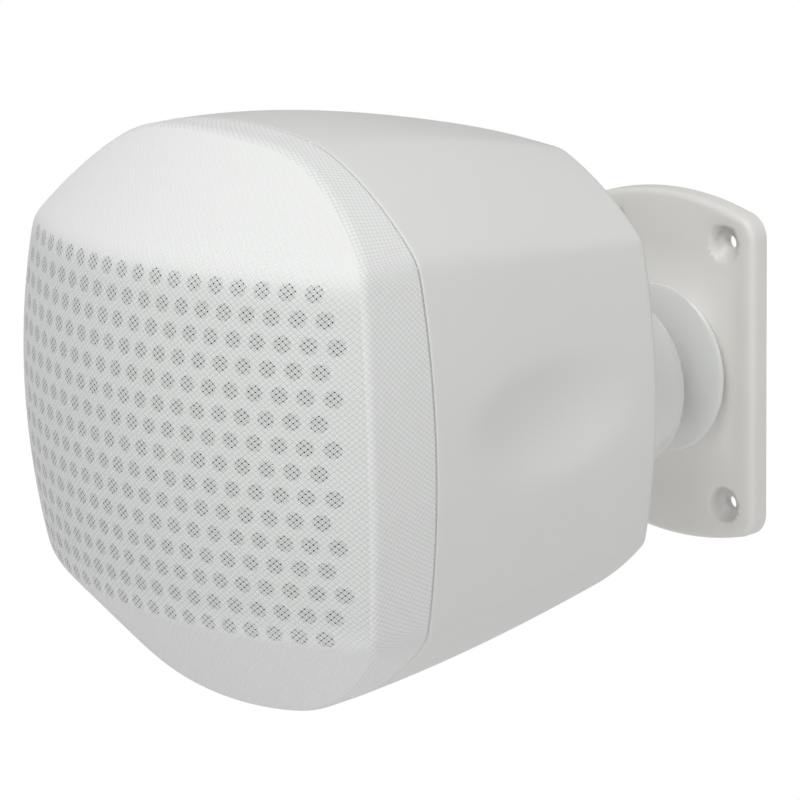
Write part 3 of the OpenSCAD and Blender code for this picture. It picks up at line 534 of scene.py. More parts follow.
class OpenKnit(NodeGroup):
    """Open knit of speaker cloth: fine threads round small gaps on a slanted lattice, and a mask of
    painted shade in the gaps.
    """

    name = "Open Knit"
    inputs = (
        ("Vector", "NodeSocketVector", 0.0),
        ("Pitch", "NodeSocketFloat", 0.00208),
        ("Slant", "NodeSocketFloat", 1.25),
        ("Wander", "NodeSocketFloat", 0.0003),
    )
    outputs = (
        ("Height", "NodeSocketFloat"),
        ("Gap", "NodeSocketFloat"),
        ("Shade", "NodeSocketFloat"),
    )
    wander_scale = 900.0
    coarse_share = 0.8
    height_share = -0.25
    gap_range = (-0.35, 0.9)
    # Range of the lattice over which the painted shade in the gaps rises
    painted_shade_range = (-0.9, 2.2)

    def fill(self, tree: bpy.types.NodeTree) -> None:
        """Two crossed cosines and their first harmonics: peaks are gaps, valleys are threads."""
        source = tree.nodes.new("NodeGroupInput")
        sink = tree.nodes.new("NodeGroupOutput")
        wander = tree.nodes.new("ShaderNodeTexNoise")
        wander.inputs["Scale"].default_value = self.wander_scale
        wander.inputs["Detail"].default_value = 1.0
        tree.links.new(source.outputs["Vector"], wander.inputs["Vector"])
        split = tree.nodes.new("ShaderNodeSeparateXYZ")
        tree.links.new(source.outputs["Vector"], split.inputs[0])
        drift = math_node(tree, "SUBTRACT", wander.outputs["Fac"], 0.5)
        drift = math_node(tree, "MULTIPLY", drift, source.outputs["Wander"])
        across = math_node(tree, "ADD", split.outputs["X"], drift)
        up = math_node(tree, "SUBTRACT", split.outputs["Y"], drift)
        up = math_node(tree, "MULTIPLY", up, source.outputs["Slant"])
        waves = []
        for operation in ("ADD", "SUBTRACT"):
            lane = math_node(tree, operation, across, up)
            lane = math_node(tree, "DIVIDE", lane, source.outputs["Pitch"])
            turns = (math_node(tree, "MULTIPLY", lane, n * 2 * math.pi) for n in (1.0, 2.0))
            coarse, fine = (math_node(tree, "COSINE", turn) for turn in turns)
            coarse = math_node(tree, "MULTIPLY", coarse, self.coarse_share)
            waves.append(math_node(tree, "ADD", coarse, fine))
        both = math_node(tree, "MINIMUM", *waves)
        lattice = math_node(tree, "ADD", *waves)
        height = math_node(tree, "MULTIPLY", lattice, self.height_share)
        tree.links.new(ramp_node(tree, both, *self.gap_range), sink.inputs["Gap"])
        tree.links.new(height, sink.inputs["Height"])
        # Shade is the mask of painted shade, darkest in the gaps
        tree.links.new(ramp_node(tree, lattice, *self.painted_shade_range), sink.inputs["Shade"])


class BoreField(NodeGroup):
    """Where the panel under the cloth is bored: staggered rows of round holes."""

    name = "Bore Field"
    inputs = (
        ("Vector", "NodeSocketVector", 0.0),
        ("Rise", "NodeSocketFloat", 0.02),
        ("Pitch", "NodeSocketFloat", 0.007),
        ("Row Pitch", "NodeSocketFloat", 0.00683),
        ("Reach", "NodeSocketFloat", 0.0026),
        ("Half Height", "NodeSocketFloat", 0.0507),
        ("Last Row", "NodeSocketFloat", 7.0),
        ("Half Width", "NodeSocketFloat", 0.068),
    )
    outputs = (("Bore", "NodeSocketFloat"), ("Field", "NodeSocketFloat"))
    bore_edge = (1.05, 0.75)
    field_edge = (1.08, 0.84)

    def fill(self, tree: bpy.types.NodeTree) -> None:
        """Distance to the nearest hole's axis: rows by rounding, every other one shifted.

        The last row each way has one hole less at both of its ends.
        """
        source = tree.nodes.new("NodeGroupInput")
        sink = tree.nodes.new("NodeGroupOutput")
        split = tree.nodes.new("ShaderNodeSeparateXYZ")
        tree.links.new(source.outputs["Vector"], split.inputs[0])
        x = split.outputs["X"]
        z = math_node(tree, "SUBTRACT", split.outputs["Z"], source.outputs["Rise"])
        rows = math_node(tree, "DIVIDE", z, source.outputs["Row Pitch"])
        row = math_node(tree, "ROUND", rows)
        dz = math_node(tree, "SUBTRACT", rows, row)
        dz = math_node(tree, "MULTIPLY", dz, source.outputs["Row Pitch"])
        row = math_node(tree, "ABSOLUTE", row)
        odd = math_node(tree, "MODULO", row, 2.0)
        places = math_node(tree, "DIVIDE", x, source.outputs["Pitch"])
        places = math_node(tree, "ADD", places, math_node(tree, "MULTIPLY", odd, 0.5))
        dx = math_node(tree, "SUBTRACT", places, math_node(tree, "ROUND", places))
        dx = math_node(tree, "MULTIPLY", dx, source.outputs["Pitch"])
        squares = [math_node(tree, "MULTIPLY", d, d) for d in (dx, dz)]
        away = math_node(tree, "SQRT", math_node(tree, "ADD", *squares))
        near = math_node(tree, "DIVIDE", away, source.outputs["Reach"])
        before_last = math_node(tree, "SUBTRACT", source.outputs["Last Row"], 0.5)
        past_last = math_node(tree, "ADD", source.outputs["Last Row"], 0.5)
        last = math_node(tree, "GREATER_THAN", row, before_last)
        less = math_node(tree, "MULTIPLY", last, source.outputs["Pitch"])
        limit = math_node(tree, "SUBTRACT", source.outputs["Half Width"], less)
        centre = math_node(tree, "ABSOLUTE", math_node(tree, "SUBTRACT", x, dx))
        bore = ramp_node(tree, near, *self.bore_edge)
        for kept in (
            math_node(tree, "LESS_THAN", centre, limit),
            math_node(tree, "LESS_THAN", row, past_last),
        ):
            bore = math_node(tree, "MULTIPLY", bore, kept)
        tree.links.new(bore, sink.inputs["Bore"])
        height = math_node(
            tree, "DIVIDE", math_node(tree, "ABSOLUTE", z), source.outputs["Half Height"]
        )
        tree.links.new(ramp_node(tree, height, *self.field_edge), sink.inputs["Field"])


class PressedLines(NodeGroup):
    """Turned or pressed metal: fine streaks in layers along y, and dull specks."""

    name = "Metal Streaks"
    inputs = (("Vector", "NodeSocketVector", 0.0), ("Scale", "NodeSocketFloat", 700.0))
    outputs = (("Height", "NodeSocketFloat"), ("Dull", "NodeSocketFloat"))
    drawn_out = (0.05, 1.0, 0.05)
    speck_scale = 320.0
    dull_range = (0.35, 0.75)

    def fill(self, tree: bpy.types.NodeTree) -> None:
        """A noise drawn out along x and z, and a second, even one for the specks."""
        source = tree.nodes.new("NodeGroupInput")
        sink = tree.nodes.new("NodeGroupOutput")
        stretch = tree.nodes.new("ShaderNodeMapping")
        stretch.inputs["Scale"].default_value = self.drawn_out
        tree.links.new(source.outputs["Vector"], stretch.inputs["Vector"])
        streak = tree.nodes.new("ShaderNodeTexNoise")
        tree.links.new(stretch.outputs["Vector"], streak.inputs["Vector"])
        tree.links.new(source.outputs["Scale"], streak.inputs["Scale"])
        speck = tree.nodes.new("ShaderNodeTexNoise")
        tree.links.new(source.outputs["Vector"], speck.inputs["Vector"])
        speck.inputs["Scale"].default_value = self.speck_scale
        tree.links.new(streak.outputs["Fac"], sink.inputs["Height"])
        dull = ramp_node(tree, speck.outputs["Fac"], *self.dull_range)
        tree.links.new(dull, sink.inputs["Dull"])


# Finishes


class Finish(Enum):
    """Every finish that a piece can be given, by the name of its material."""

    SHELL = "white_shell"
    GLOSS = "white_gloss"
    PLATE = "warm_white"
    PANEL = "white_panel"
    CLOTH = "speaker_cloth"
    STEEL = "bright_steel"
    BLACK_STEEL = "black_steel"
    BLACK_PLASTIC = "black_plastic"
    SEAT = "seat_plastic"
    RED_PLASTIC = "red_plastic"
    BRASS = "brass"
    RED_WIRE = "red_wire"
    BLACK_WIRE = "black_wire"
    WADDING = "wadding"
    FOAM = "foam"
    RUBBER = "rubber"
    PAPER = "paper"
    COIL = "coil"
    SPIDER = "spider_cloth"
    FERRITE = "ferrite"
    FIBRE = "fibre_board"


def new_material(name: str) -> tuple[bpy.types.Material, bpy.types.NodeTree, Node]:
    """Empty material with a Principled shader, its tree and that shader."""
    material = bpy.data.materials.new(name)
    material.use_nodes = True
    tree = material.node_tree
    shader = next(n for n in tree.nodes if n.type == "BSDF_PRINCIPLED")
    return material, tree, shader


def object_vector(tree: bpy.types.NodeTree) -> Socket:
    """The object coordinates of a material."""
    return tree.nodes.new("ShaderNodeTexCoord").outputs["Object"]


def tint(
    tree: bpy.types.NodeTree, mask: Socket, low: tuple[float, ...], high: tuple[float, ...]
) -> Socket:
    """Colour between two others by a mask."""
    mix = tree.nodes.new("ShaderNodeMix")
    mix.data_type = "RGBA"
    tree.links.new(mask, mix.inputs[0])
    mix.inputs[6].default_value = (*low, 1.0)
    mix.inputs[7].default_value = (*high, 1.0)
    return mix.outputs[2]


@dataclass(frozen=True)
class Moulded:
    """Moulded plastic, rubber or foam with a fine grain."""

    colour: tuple[float, float, float]
    roughness: float
    grain_depth: float = 0.00002
    grain_scale: float = 2600.0
    spread: float = 0.02
    coat: float = 0.0
    specular: float = 0.5
    bump: float = 0.6
    coat_roughness: float = 0.08
    rough_spread: float = 0.12

    def build(self, name: str) -> bpy.types.Material:
        """Material with the colour, roughness and bump varied by the mould grain."""
        material, tree, shader = new_material(name)
        grain = MouldGrain().place(tree, Grain_Scale=self.grain_scale)
        tree.links.new(object_vector(tree), grain.inputs["Vector"])
        low = tuple(c * (1 - self.spread) for c in self.colour)
        high = tuple(min(1.0, c * (1 + self.spread)) for c in self.colour)
        tree.links.new(tint(tree, grain.outputs["Broad"], low, high), shader.inputs["Base Color"])
        rough = math_node(tree, "MULTIPLY", grain.outputs["Broad"], self.rough_spread)
        rough = math_node(tree, "ADD", rough, self.roughness - self.rough_spread / 2)
        tree.links.new(rough, shader.inputs["Roughness"])
        bump = tree.nodes.new("ShaderNodeBump")
        bump.inputs["Strength"].default_value = self.bump
        bump.inputs["Distance"].default_value = self.grain_depth
        tree.links.new(grain.outputs["Height"], bump.inputs["Height"])
        tree.links.new(bump.outputs["Normal"], shader.inputs["Normal"])
        shader.inputs["Specular IOR Level"].default_value = self.specular
        shader.inputs["Coat Weight"].default_value = self.coat
        shader.inputs["Coat Roughness"].default_value = self.coat_roughness
        return material


@dataclass(frozen=True)
class Perforated(Moulded):
    """Moulded panel with painted shade on the walls of its bores."""

    # Colour of the painted shade on the bores' walls
    bore: tuple[float, float, float] = (0.03, 0.03, 0.032)

    def build(self, name: str) -> bpy.types.Material:
        """Moulded material with painted shade where the mesh marks the wall of a bore."""
        material = super().build(name)
        tree = material.node_tree
        shader = next(n for n in tree.nodes if n.type == "BSDF_PRINCIPLED")
        skin = shader.inputs["Base Color"].links[0].from_socket
        # Painted shade on the faces marked as bores' walls
        marked = tree.nodes.new("ShaderNodeAttribute")
        marked.attribute_name = "bore"
        mixed = tint(tree, marked.outputs["Fac"], self.colour, self.bore)
        tree.links.new(skin, mixed.node.inputs[6])
        tree.links.new(mixed, shader.inputs["Base Color"])
        return material


@dataclass(frozen=True)
class Metal:
    """Bare, plated or coated metal with fine streaks and dull specks."""

    colour: tuple[float, float, float]
    roughness: float
    metallic: float = 1.0
    scale: float = 700.0
    dull_tone: float = 0.86
    dull_rough: float = 0.15
    bump: float = 0.3
    streak_depth: float = 0.00002

    def build(self, name: str) -> bpy.types.Material:
        """Material whose roughness and tone follow the streaks."""
        material, tree, shader = new_material(name)
        streaks = PressedLines().place(tree, Scale=self.scale)
        tree.links.new(object_vector(tree), streaks.inputs["Vector"])
        dark = tuple(c * self.dull_tone for c in self.colour)
        tree.links.new(
            tint(tree, streaks.outputs["Dull"], self.colour, dark), shader.inputs["Base Color"]
        )
        rough = math_node(tree, "MULTIPLY", streaks.outputs["Dull"], self.dull_rough)
        rough = math_node(tree, "ADD", rough, self.roughness)
        tree.links.new(rough, shader.inputs["Roughness"])
        bump = tree.nodes.new("ShaderNodeBump")
        bump.inputs["Strength"].default_value = self.bump
        bump.inputs["Distance"].default_value = self.streak_depth
        tree.links.new(streaks.outputs["Height"], bump.inputs["Height"])
        tree.links.new(bump.outputs["Normal"], shader.inputs["Normal"])
        shader.inputs["Metallic"].default_value = self.metallic
        return material


@dataclass(frozen=True)
class SpeakerCloth:
    """Fine open knit, so that the perforations show through it, with painted shade in its gaps, over
    the bores and over the bored field.
    """

    thread: tuple[float, float, float] = (0.81, 0.82, 0.81)
    # Colour of the painted shade, towards which the threads darken
    painted_shade_colour: tuple[float, float, float] = (0.50, 0.515, 0.505)
    # Strength of the painted gap shade on the lens, on the bored field and skirt, and extra over
    # each bore
    lens_share: float = 0.07
    open_share: float = 0.5
    bore_share: float = 0.3
    # Painted shade over each bore and over the bored front field
    bore_painted_shade: float = 0.24
    field_painted_shade: float = 0.26
    pitch: float = 0.00208
    depth: float = 0.00018
    bump: float = 0.3
    roughness: float = 0.85
    sheen: float = 0.15
    sheen_roughness: float = 0.5
    specular: float = 0.25

    def build(self, name: str) -> bpy.types.Material:
        """Material with the knit raised on the UV map and its gaps open over the bores.

        Shade is painted into its colour: in the knit's gaps, over each bore and over the bored front
        field. Where the white panel backs the cloth, the painted shade in its gaps is faint, so that
        they look almost as light as its threads.
        """
        material, tree, shader = new_material(name)
        knit = OpenKnit().place(tree, Pitch=self.pitch)
        vector = tree.nodes.new("ShaderNodeTexCoord").outputs["UV"]
        tree.links.new(vector, knit.inputs["Vector"])
        bores = BoreField().place(tree)
        tree.links.new(object_vector(tree), bores.inputs["Vector"])
        skirt = tree.nodes.new("ShaderNodeAttribute")
        skirt.attribute_name = "skirt"
        bore = bores.outputs["Bore"]
        amount = math_node(tree, "MAXIMUM", bores.outputs["Field"], skirt.outputs["Fac"])
        amount = math_node(tree, "MULTIPLY", amount, self.open_share - self.lens_share)
        amount = math_node(tree, "ADD", amount, self.lens_share)
        extra = math_node(tree, "MULTIPLY", bore, self.bore_share)
        amount = math_node(tree, "ADD", amount, extra)
        # Painted shade in the knit's gaps, weak on the lens and strong over the bored field, skirt
        # and bores
        dark = math_node(tree, "MULTIPLY", knit.outputs["Shade"], amount)
        # Painted shade over each bore and over the front of the bored field, not on the skirt
        front = math_node(tree, "SUBTRACT", 1.0, skirt.outputs["Fac"])
        front = math_node(tree, "MULTIPLY", front, bores.outputs["Field"])
        for mask, share in ((bore, self.bore_painted_shade), (front, self.field_painted_shade)):
            dark = math_node(tree, "ADD", dark, math_node(tree, "MULTIPLY", mask, share))
        tree.links.new(tint(tree, dark, self.thread, self.painted_shade_colour), shader.inputs["Base Color"])
        inner = tree.nodes.new("ShaderNodeNewGeometry").outputs["Backfacing"]
        outer = math_node(tree, "SUBTRACT", 1.0, inner)
        gap = math_node(tree, "MULTIPLY", knit.outputs["Gap"], bore)
        cover = math_node(tree, "MULTIPLY", math_node(tree, "SUBTRACT", 1.0, gap), outer)
        tree.links.new(cover, shader.inputs["Alpha"])
        bump = tree.nodes.new("ShaderNodeBump")
        bump.inputs["Strength"].default_value = self.bump
        bump.inputs["Distance"].default_value = self.depth
        tree.links.new(knit.outputs["Height"], bump.inputs["Height"])
        tree.links.new(bump.outputs["Normal"], shader.inputs["Normal"])
        shader.inputs["Roughness"].default_value = self.roughness
        shader.inputs["Sheen Weight"].default_value = self.sheen
        shader.inputs["Sheen Roughness"].default_value = self.sheen_roughness
        shader.inputs["Specular IOR Level"].default_value = self.specular
        return material


FINISHES: dict[Finish, Moulded | Metal | SpeakerCloth] = {
    Finish.SHELL: Moulded((0.735, 0.745, 0.725), 0.42, coat=0.05),
    Finish.GLOSS: Moulded((0.735, 0.745, 0.725), 0.16, 0.000006, 900.0, coat=0.5),
    Finish.PLATE: Moulded((0.77, 0.755, 0.725), 0.4, coat=0.05),
    # Panel with painted shade on its bores' walls
    Finish.PANEL: Perforated((0.86, 0.87, 0.86), 0.5),
    # Cloth with painted shade in its knit's gaps and over the bores
    Finish.CLOTH: SpeakerCloth(),
    Finish.STEEL: Metal((0.56, 0.57, 0.58), 0.28),
    Finish.BLACK_STEEL: Metal((0.02, 0.02, 0.022), 0.4, 0.0),
    Finish.BLACK_PLASTIC: Moulded((0.022, 0.022, 0.024), 0.45),
    Finish.SEAT: Moulded((0.07, 0.07, 0.075), 0.35),
    Finish.RED_PLASTIC: Moulded((0.42, 0.016, 0.014), 0.35, coat=0.2),
    Finish.BRASS: Metal((0.72, 0.52, 0.24), 0.25),
    Finish.RED_WIRE: Moulded((0.42, 0.02, 0.018), 0.4),
    Finish.BLACK_WIRE: Moulded((0.02, 0.02, 0.02), 0.4),
    Finish.WADDING: Moulded((0.72, 0.71, 0.66), 0.95, 0.0012, 300.0, 0.12),
    Finish.FOAM: Moulded((0.03, 0.03, 0.03), 0.95, 0.0002, 1500.0, 0.3),
    Finish.RUBBER: Moulded((0.018, 0.018, 0.018), 0.55),
    Finish.PAPER: Moulded((0.03, 0.03, 0.032), 0.85, 0.00015, 900.0, 0.25),
    Finish.COIL: Metal((0.6, 0.28, 0.1), 0.3, 1.0, 3000.0),
    Finish.SPIDER: Moulded((0.55, 0.38, 0.14), 0.9, 0.0002, 1400.0, 0.12),
    Finish.FERRITE: Moulded((0.035, 0.035, 0.037), 0.6, 0.00006, 1200.0, 0.2),
    Finish.FIBRE: Moulded((0.24, 0.12, 0.05), 0.6, 0.00004, 900.0, 0.15),
}


class Wardrobe:
    """Builds each finish once and puts it on pieces."""

    def __init__(self) -> None:
        """Starts with no material built."""
        self.built: dict[Finish, bpy.types.Material] = {}

    def material(self, finish: Finish) -> bpy.types.Material:
        """The material of a finish."""
        if finish not in self.built:
            self.built[finish] = FINISHES[finish].build(finish.value)
        return self.built[finish]

    def dress(
        self, piece: bpy.types.Object, finish: Finish
    ) -> None:
        """Gives a whole piece one finish.

        Args:
            piece: The piece.
            finish: Its finish.
        """
        piece.data.materials.clear()
        piece.data.materials.append(self.material(finish))


# Sub-assemblies


@dataclass
class CabinetShell:
    """The cabinet's moulded shell with its rounded lips, finger dishes and cup opening."""

    form: BodyForm = field(default_factory=BodyForm)
    dish: FingerDish = field(default_factory=FingerDish)
    columns: int = 384
    lip: float = 0.0006
    edge_round: float = 0.0014
    cup_centre_z: float = 0.058
    cup_half_w: float = 0.0232
    cup_half_h: float = 0.0132
    lip_rows: int = 5
    side_rows: int = 84
    edge_rows: int = 6
    wall_rows: int = 28
    flat_rows: int = 10
    back_rows: int = 5
    seam_setback: float = 0.002
    sharp_deg: float = 60.0

    def outer_path(self) -> Array:
        """Depth and inset of each row from the inside of the seam to the flat rear face."""
        f = self.form
        turn = np.linspace(0, math.pi / 2, self.lip_rows)
        lip = np.stack(
            [f.seam_y + self.lip * (1 - np.cos(turn)), self.lip * (1 - np.sin(turn))], -1
        )
        corner_out = np.array([f.rear_edge_y, 0.0])
        corner_in = np.array([f.rear_face_y, f.rear_inset])
        slant = (corner_in - corner_out) / np.linalg.norm(corner_in - corner_out)
        r = self.edge_round
        sides_y = np.linspace(f.seam_y + self.lip, f.rear_edge_y - r, self.side_rows)[1:]
        sides = np.stack([sides_y, np.zeros_like(sides_y)], -1)
        rows = self.edge_rows
        edge = bezier_corner(corner_out - [r, 0], corner_out, corner_out + slant * r, rows)[1:]
        inner = bezier_corner(corner_in - slant * r, corner_in, corner_in + [0, r], rows)
        start = np.array([[f.seam_y, f.wall]])
        return np.concatenate([start, lip, sides, edge, inner])

    def inner_path(self) -> Array:
        """Depth and inset of each inner row from the rear back to the seam."""
        f = self.form
        back = np.array([[f.rear_face_y - f.wall, f.rear_inset + f.wall]])
        front_y = f.seam_y + self.seam_setback
        ys = np.linspace(f.rear_edge_y - f.wall / 2, front_y, self.wall_rows)
        return np.concatenate([back, np.stack([ys, np.full_like(ys, f.wall)], -1)])

    def opening(self, ring: Array, y: float) -> Array:
        """Point of the cup's opening towards each point of a ring.

        From the opening's centre, the point on its rectangle in the ring point's direction:
        the direction divided by the larger of its shares of the two half sizes.

        Args:
            ring: Points of the rear outline.
            y: Depth of the opening's edge.

        Returns:
            One point for each point of the ring.
        """
        dx = ring[:, 0]
        dz = ring[:, 2] - self.cup_centre_z
        share = np.maximum(np.abs(dx) / self.cup_half_w, np.abs(dz) / self.cup_half_h)
        return np.stack(
            [dx / share, np.full_like(dx, y), self.cup_centre_z + dz / share], -1
        )

    def build(self, wardrobe: Wardrobe) -> bpy.types.Object:
        """Makes the shell as one closed grid, carves the dishes and dresses it.

        Args:
            wardrobe: Source of the finishes.

        Returns:
            The shell's object.
        """
        f = self.form
        theta = np.linspace(0, 2 * math.pi, self.columns, endpoint=False)
        outer = np.stack([f.ring(theta, y, inset) for y, inset in self.outer_path()])
        inner = np.stack([f.ring(theta, y, inset) for y, inset in self.inner_path()])
        outer = self.dish.carve(outer)
        inner = self.dish.carve(inner, f.wall)
        mouth = self.opening(outer[-1], f.rear_face_y)
        floor = self.opening(outer[-1], f.rear_face_y - f.wall)
        t = np.linspace(0, 1, self.flat_rows)[1:, None, None]
        flat = outer[-1] * (1 - t) + mouth * t
        t = np.linspace(0, 1, self.back_rows)[:-1, None, None]
        back = floor * (1 - t) + inner[0] * t
        grid = np.concatenate([outer, flat, back, inner])
        faces = grid_faces(len(grid), self.columns, True).tolist()
        points = grid.reshape(-1, 3)
        shell = mesh_object("cabinet_shell", points, faces, sharp_deg=self.sharp_deg)
        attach(shell, "speaker")
        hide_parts("cabinet")
        wardrobe.dress(shell, Finish.SHELL)
        return shell


@dataclass
class CoverCloth:
    """The cloth stretched over the front cover, turned in at the seam."""

    form: BodyForm = field(default_factory=BodyForm)
    columns: int = 360
    front_rows: int = 62
    skirt_rows: int = 16
    hem: float = 0.0007
    fold: float = 0.0026
    fold_share: float = 0.5
    thickness: float = 0.0004
    fold_rows: int = 12
    skirt_start: int = 4
    middle_share: float = 0.002
    leg_softness: float = 0.0008
    hem_reach: float = 4.0

    def fold_leg(self, theta: Array, rim: Array) -> Array:
        """Length over which the cloth rounds the front edge, less where the skirt is low.

        Args:
            theta: Directions about the cabinet's axis.
            rim: The outline's radius in each direction.

        Returns:
            One length for each direction.
        """
        f = self.form
        corner_y = f.front_y(rim * np.cos(theta), rim * np.sin(theta))
        low = self.fold_share * (f.seam_y - f.seam_gap - corner_y)
        return soft_least(np.stack([np.full_like(rim, self.fold), low]), self.leg_softness)

    def surface(self) -> tuple[Array, Array]:
        """Points and UV pairs of the outer face, from the middle out to the seam.

        A row is the outline scaled by its share of the way out and set on the cover's front.
        Past the fold, the rows run back along the skirt. The UV map unrolls the cloth: across
        by the arc length along the band, up by height, and over the fold outwards along the
        outline's normal.

        Returns:
            Points of shape (rows, columns, 3) and UV pairs of shape (rows, columns, 2).
        """
        f = self.form
        theta = np.linspace(0, 2 * math.pi, self.columns, endpoint=False)
        rim = f.front.radius(theta, 0.0, f.front_softness)
        ray = np.stack([np.cos(theta), np.sin(theta)], -1)
        share = np.linspace(self.middle_share, 1, self.front_rows)[:, None, None]
        edge = rim[:, None] * ray
        corner = self.on_front(edge[None])[0]
        stop_y = f.seam_y - f.seam_gap
        fold_run = self.fold_leg(theta, rim)
        flat = (ray * (rim - fold_run)[:, None]) * share
        front = self.on_front(flat)
        start = front[-1]
        end = corner.copy()
        end[:, 1] += fold_run
        fold = bezier_corner(start, corner, end, self.fold_rows)[1:]
        t = np.linspace(0, 1, self.skirt_rows)[1:, None]
        room = (stop_y - end[:, 1]) / (self.hem_reach * self.hem)
        hem_y = stop_y - self.hem * np.minimum(1.0, room)
        skirt_y = np.concatenate(
            [end[:, 1] + (hem_y - end[:, 1]) * t, np.full((1, self.columns), stop_y)]
        )
        skirt = np.repeat(end[None], len(skirt_y), 0)
        skirt[..., 1] = skirt_y
        grid = np.concatenate([front, fold, skirt])
        slide = np.gradient(np.concatenate([edge[-1:], edge, edge[:1]]), axis=0)[1:-1]
        normal = np.stack([slide[:, 1], -slide[:, 0]], -1)
        normal /= np.linalg.norm(normal, axis=1)[:, None]
        run = np.linalg.norm(np.diff(grid, axis=0), axis=2).cumsum(axis=0)
        past = np.maximum(
            np.concatenate([np.zeros((1, self.columns)), run]) - run[self.front_rows - 2], 0
        )
        arc = f.band_radius * np.arcsin(np.clip(grid[..., 0] / f.band_radius, -1, 1))
        uv = np.stack([arc, grid[..., 2]], -1)
        uv[self.front_rows:] = (
            uv[self.front_rows - 1] + past[self.front_rows:, :, None] * normal
        )
        return grid, uv

    def on_front(self, flat: Array) -> Array:
        """Points of the cover's front over the given places, heights from the axis."""
        y = self.form.front_y(flat[..., 0], flat[..., 1])
        return np.stack([flat[..., 0], y, self.form.axis_rise + flat[..., 1]], -1)

    def build(self, wardrobe: Wardrobe) -> bpy.types.Object:
        """Args:
            wardrobe: Source of the finishes.

        Returns:
            The cloth's object.
        """
        grid, uv = self.surface()
        rows, columns = grid.shape[:2]
        middle = grid[0].mean(axis=0)
        middle[1] = self.form.apex_y
        points = np.concatenate([grid.reshape(-1, 3), middle[None]])
        pairs = np.concatenate([uv.reshape(-1, 2), [[0.0, self.form.axis_rise]]])
        hub = rows * columns
        first = np.arange(columns)
        fan = np.stack([np.full(columns, hub), (first + 1) % columns, first], -1)
        faces = grid_faces(rows, columns, False).tolist() + fan.tolist()
        cloth = mesh_object("cover_cloth", points, faces, pairs)
        skirt = cloth.data.attributes.new("skirt", "FLOAT", "POINT")
        row = np.concatenate([np.repeat(np.arange(rows), columns), [0]])
        past_fold = row >= self.front_rows + self.skirt_start
        skirt.data.foreach_set("value", past_fold.astype(np.float32))
        self.face_forward(cloth)
        solid = cloth.modifiers.new("thickness", "SOLIDIFY")
        solid.thickness = self.thickness
        solid.offset = -1.0
        solid.use_even_offset = True
        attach(cloth, "speaker")
        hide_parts("grille_cloth")
        wardrobe.dress(cloth, Finish.CLOTH)
        return cloth

    @staticmethod
    def face_forward(cloth: bpy.types.Object) -> None:
        """Turns the faces over where the cloth's open mesh faces the wall."""
        mean = sum((p.normal * p.area for p in cloth.data.polygons), Vector())
        if mean.y > 0:
            cloth.data.flip_normals()


@dataclass
class CoverPanel:
    """The perforated panel under the cloth, its front edge eased to lie below the fold."""

    cloth: CoverCloth = field(default_factory=CoverCloth)
    clearance: float = 0.0008
    clearances: float = 4.0
    halvings: int = 24
    bore_rim: float = 0.006
    band_margin: float = 0.001
    wall_facing: float = 0.4
    sharp_deg: float = 30.0

    def ease(self, points: Array) -> Array:
        """Draws the points near the sharp front edge in below the cloth's fold.

        A point's distances in from the outline and behind the front have roots that sum to
        less than the root of the fold's leg only outside the fold. Such a point moves in and
        back by the same length, found by halving, until the sum is reached.

        Args:
            points: Points of shape (count, 3).

        Returns:
            The moved points.
        """
        f = self.cloth.form
        x, z = points[:, 0], points[:, 2] - f.axis_rise
        theta, rho = np.arctan2(z, x), np.hypot(x, z)
        rim = f.front.radius(theta, 0.0, f.front_softness)
        leg = self.cloth.fold_leg(theta, rim) + self.clearances * self.clearance
        inward = np.maximum(rim - rho, 0.0)
        behind = np.maximum(points[:, 1] - f.front_y(x, z), 0.0)
        low, high = np.zeros_like(rho), leg.copy()
        for _ in range(self.halvings):
            half = (low + high) / 2
            out = np.sqrt(inward + half) + np.sqrt(behind + half) < np.sqrt(leg)
            low, high = np.where(out, half, low), np.where(out, high, half)
        move = np.where(np.sqrt(inward) + np.sqrt(behind) < np.sqrt(leg), high, 0.0)
        x2, z2 = (rho - move) * np.cos(theta), (rho - move) * np.sin(theta)
        eased = np.stack([x2, f.front_y(x2, z2) + behind + move, z2 + f.axis_rise], -1)
        return np.where((move > 0)[:, None], eased, points)

    def bore_walls(self, mesh: bpy.types.Mesh) -> Array:
        """One for each face that is a bore's wall, which gets painted shade, and zero for the
        others.
        """
        f = self.cloth.form
        count = len(mesh.polygons)
        centres, normals = np.empty(count * 3), np.empty(count * 3)
        mesh.polygons.foreach_get("center", centres)
        mesh.polygons.foreach_get("normal", normals)
        centres, normals = centres.reshape(-1, 3), normals.reshape(-1, 3)
        x, z = centres[:, 0], centres[:, 2] - f.axis_rise
        rim = f.front.radius(np.arctan2(z, x), 0.0, f.front_softness)
        inside = np.hypot(x, z) < rim - self.bore_rim
        inside &= np.abs(z) < f.band_half + self.band_margin
        return (inside & (np.abs(normals[:, 1]) < self.wall_facing)).astype(np.float32)

    def build(self, wardrobe: Wardrobe) -> bpy.types.Object:
        """Makes the eased copy of the panel and marks its bores' walls for painted shade.

        Args:
            wardrobe: Source of the finishes.

        Returns:
            The panel's object.
        """
        panel = smoothed_copy("front_grille", "cover_panel", self.sharp_deg)
        mesh = panel.data
        points = np.empty(len(mesh.vertices) * 3)
        mesh.vertices.foreach_get("co", points)
        mesh.vertices.foreach_set("co", self.ease(points.reshape(-1, 3)).ravel())
        mesh.update()
        # Marks the bores' walls, which the panel's finish paints with shade
        marks = mesh.attributes.new("bore", "FLOAT", "FACE")
        marks.data.foreach_set("value", self.bore_walls(mesh))
        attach(panel, "speaker")
        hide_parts("front_grille")
        wardrobe.dress(panel, Finish.PANEL)
        return panel


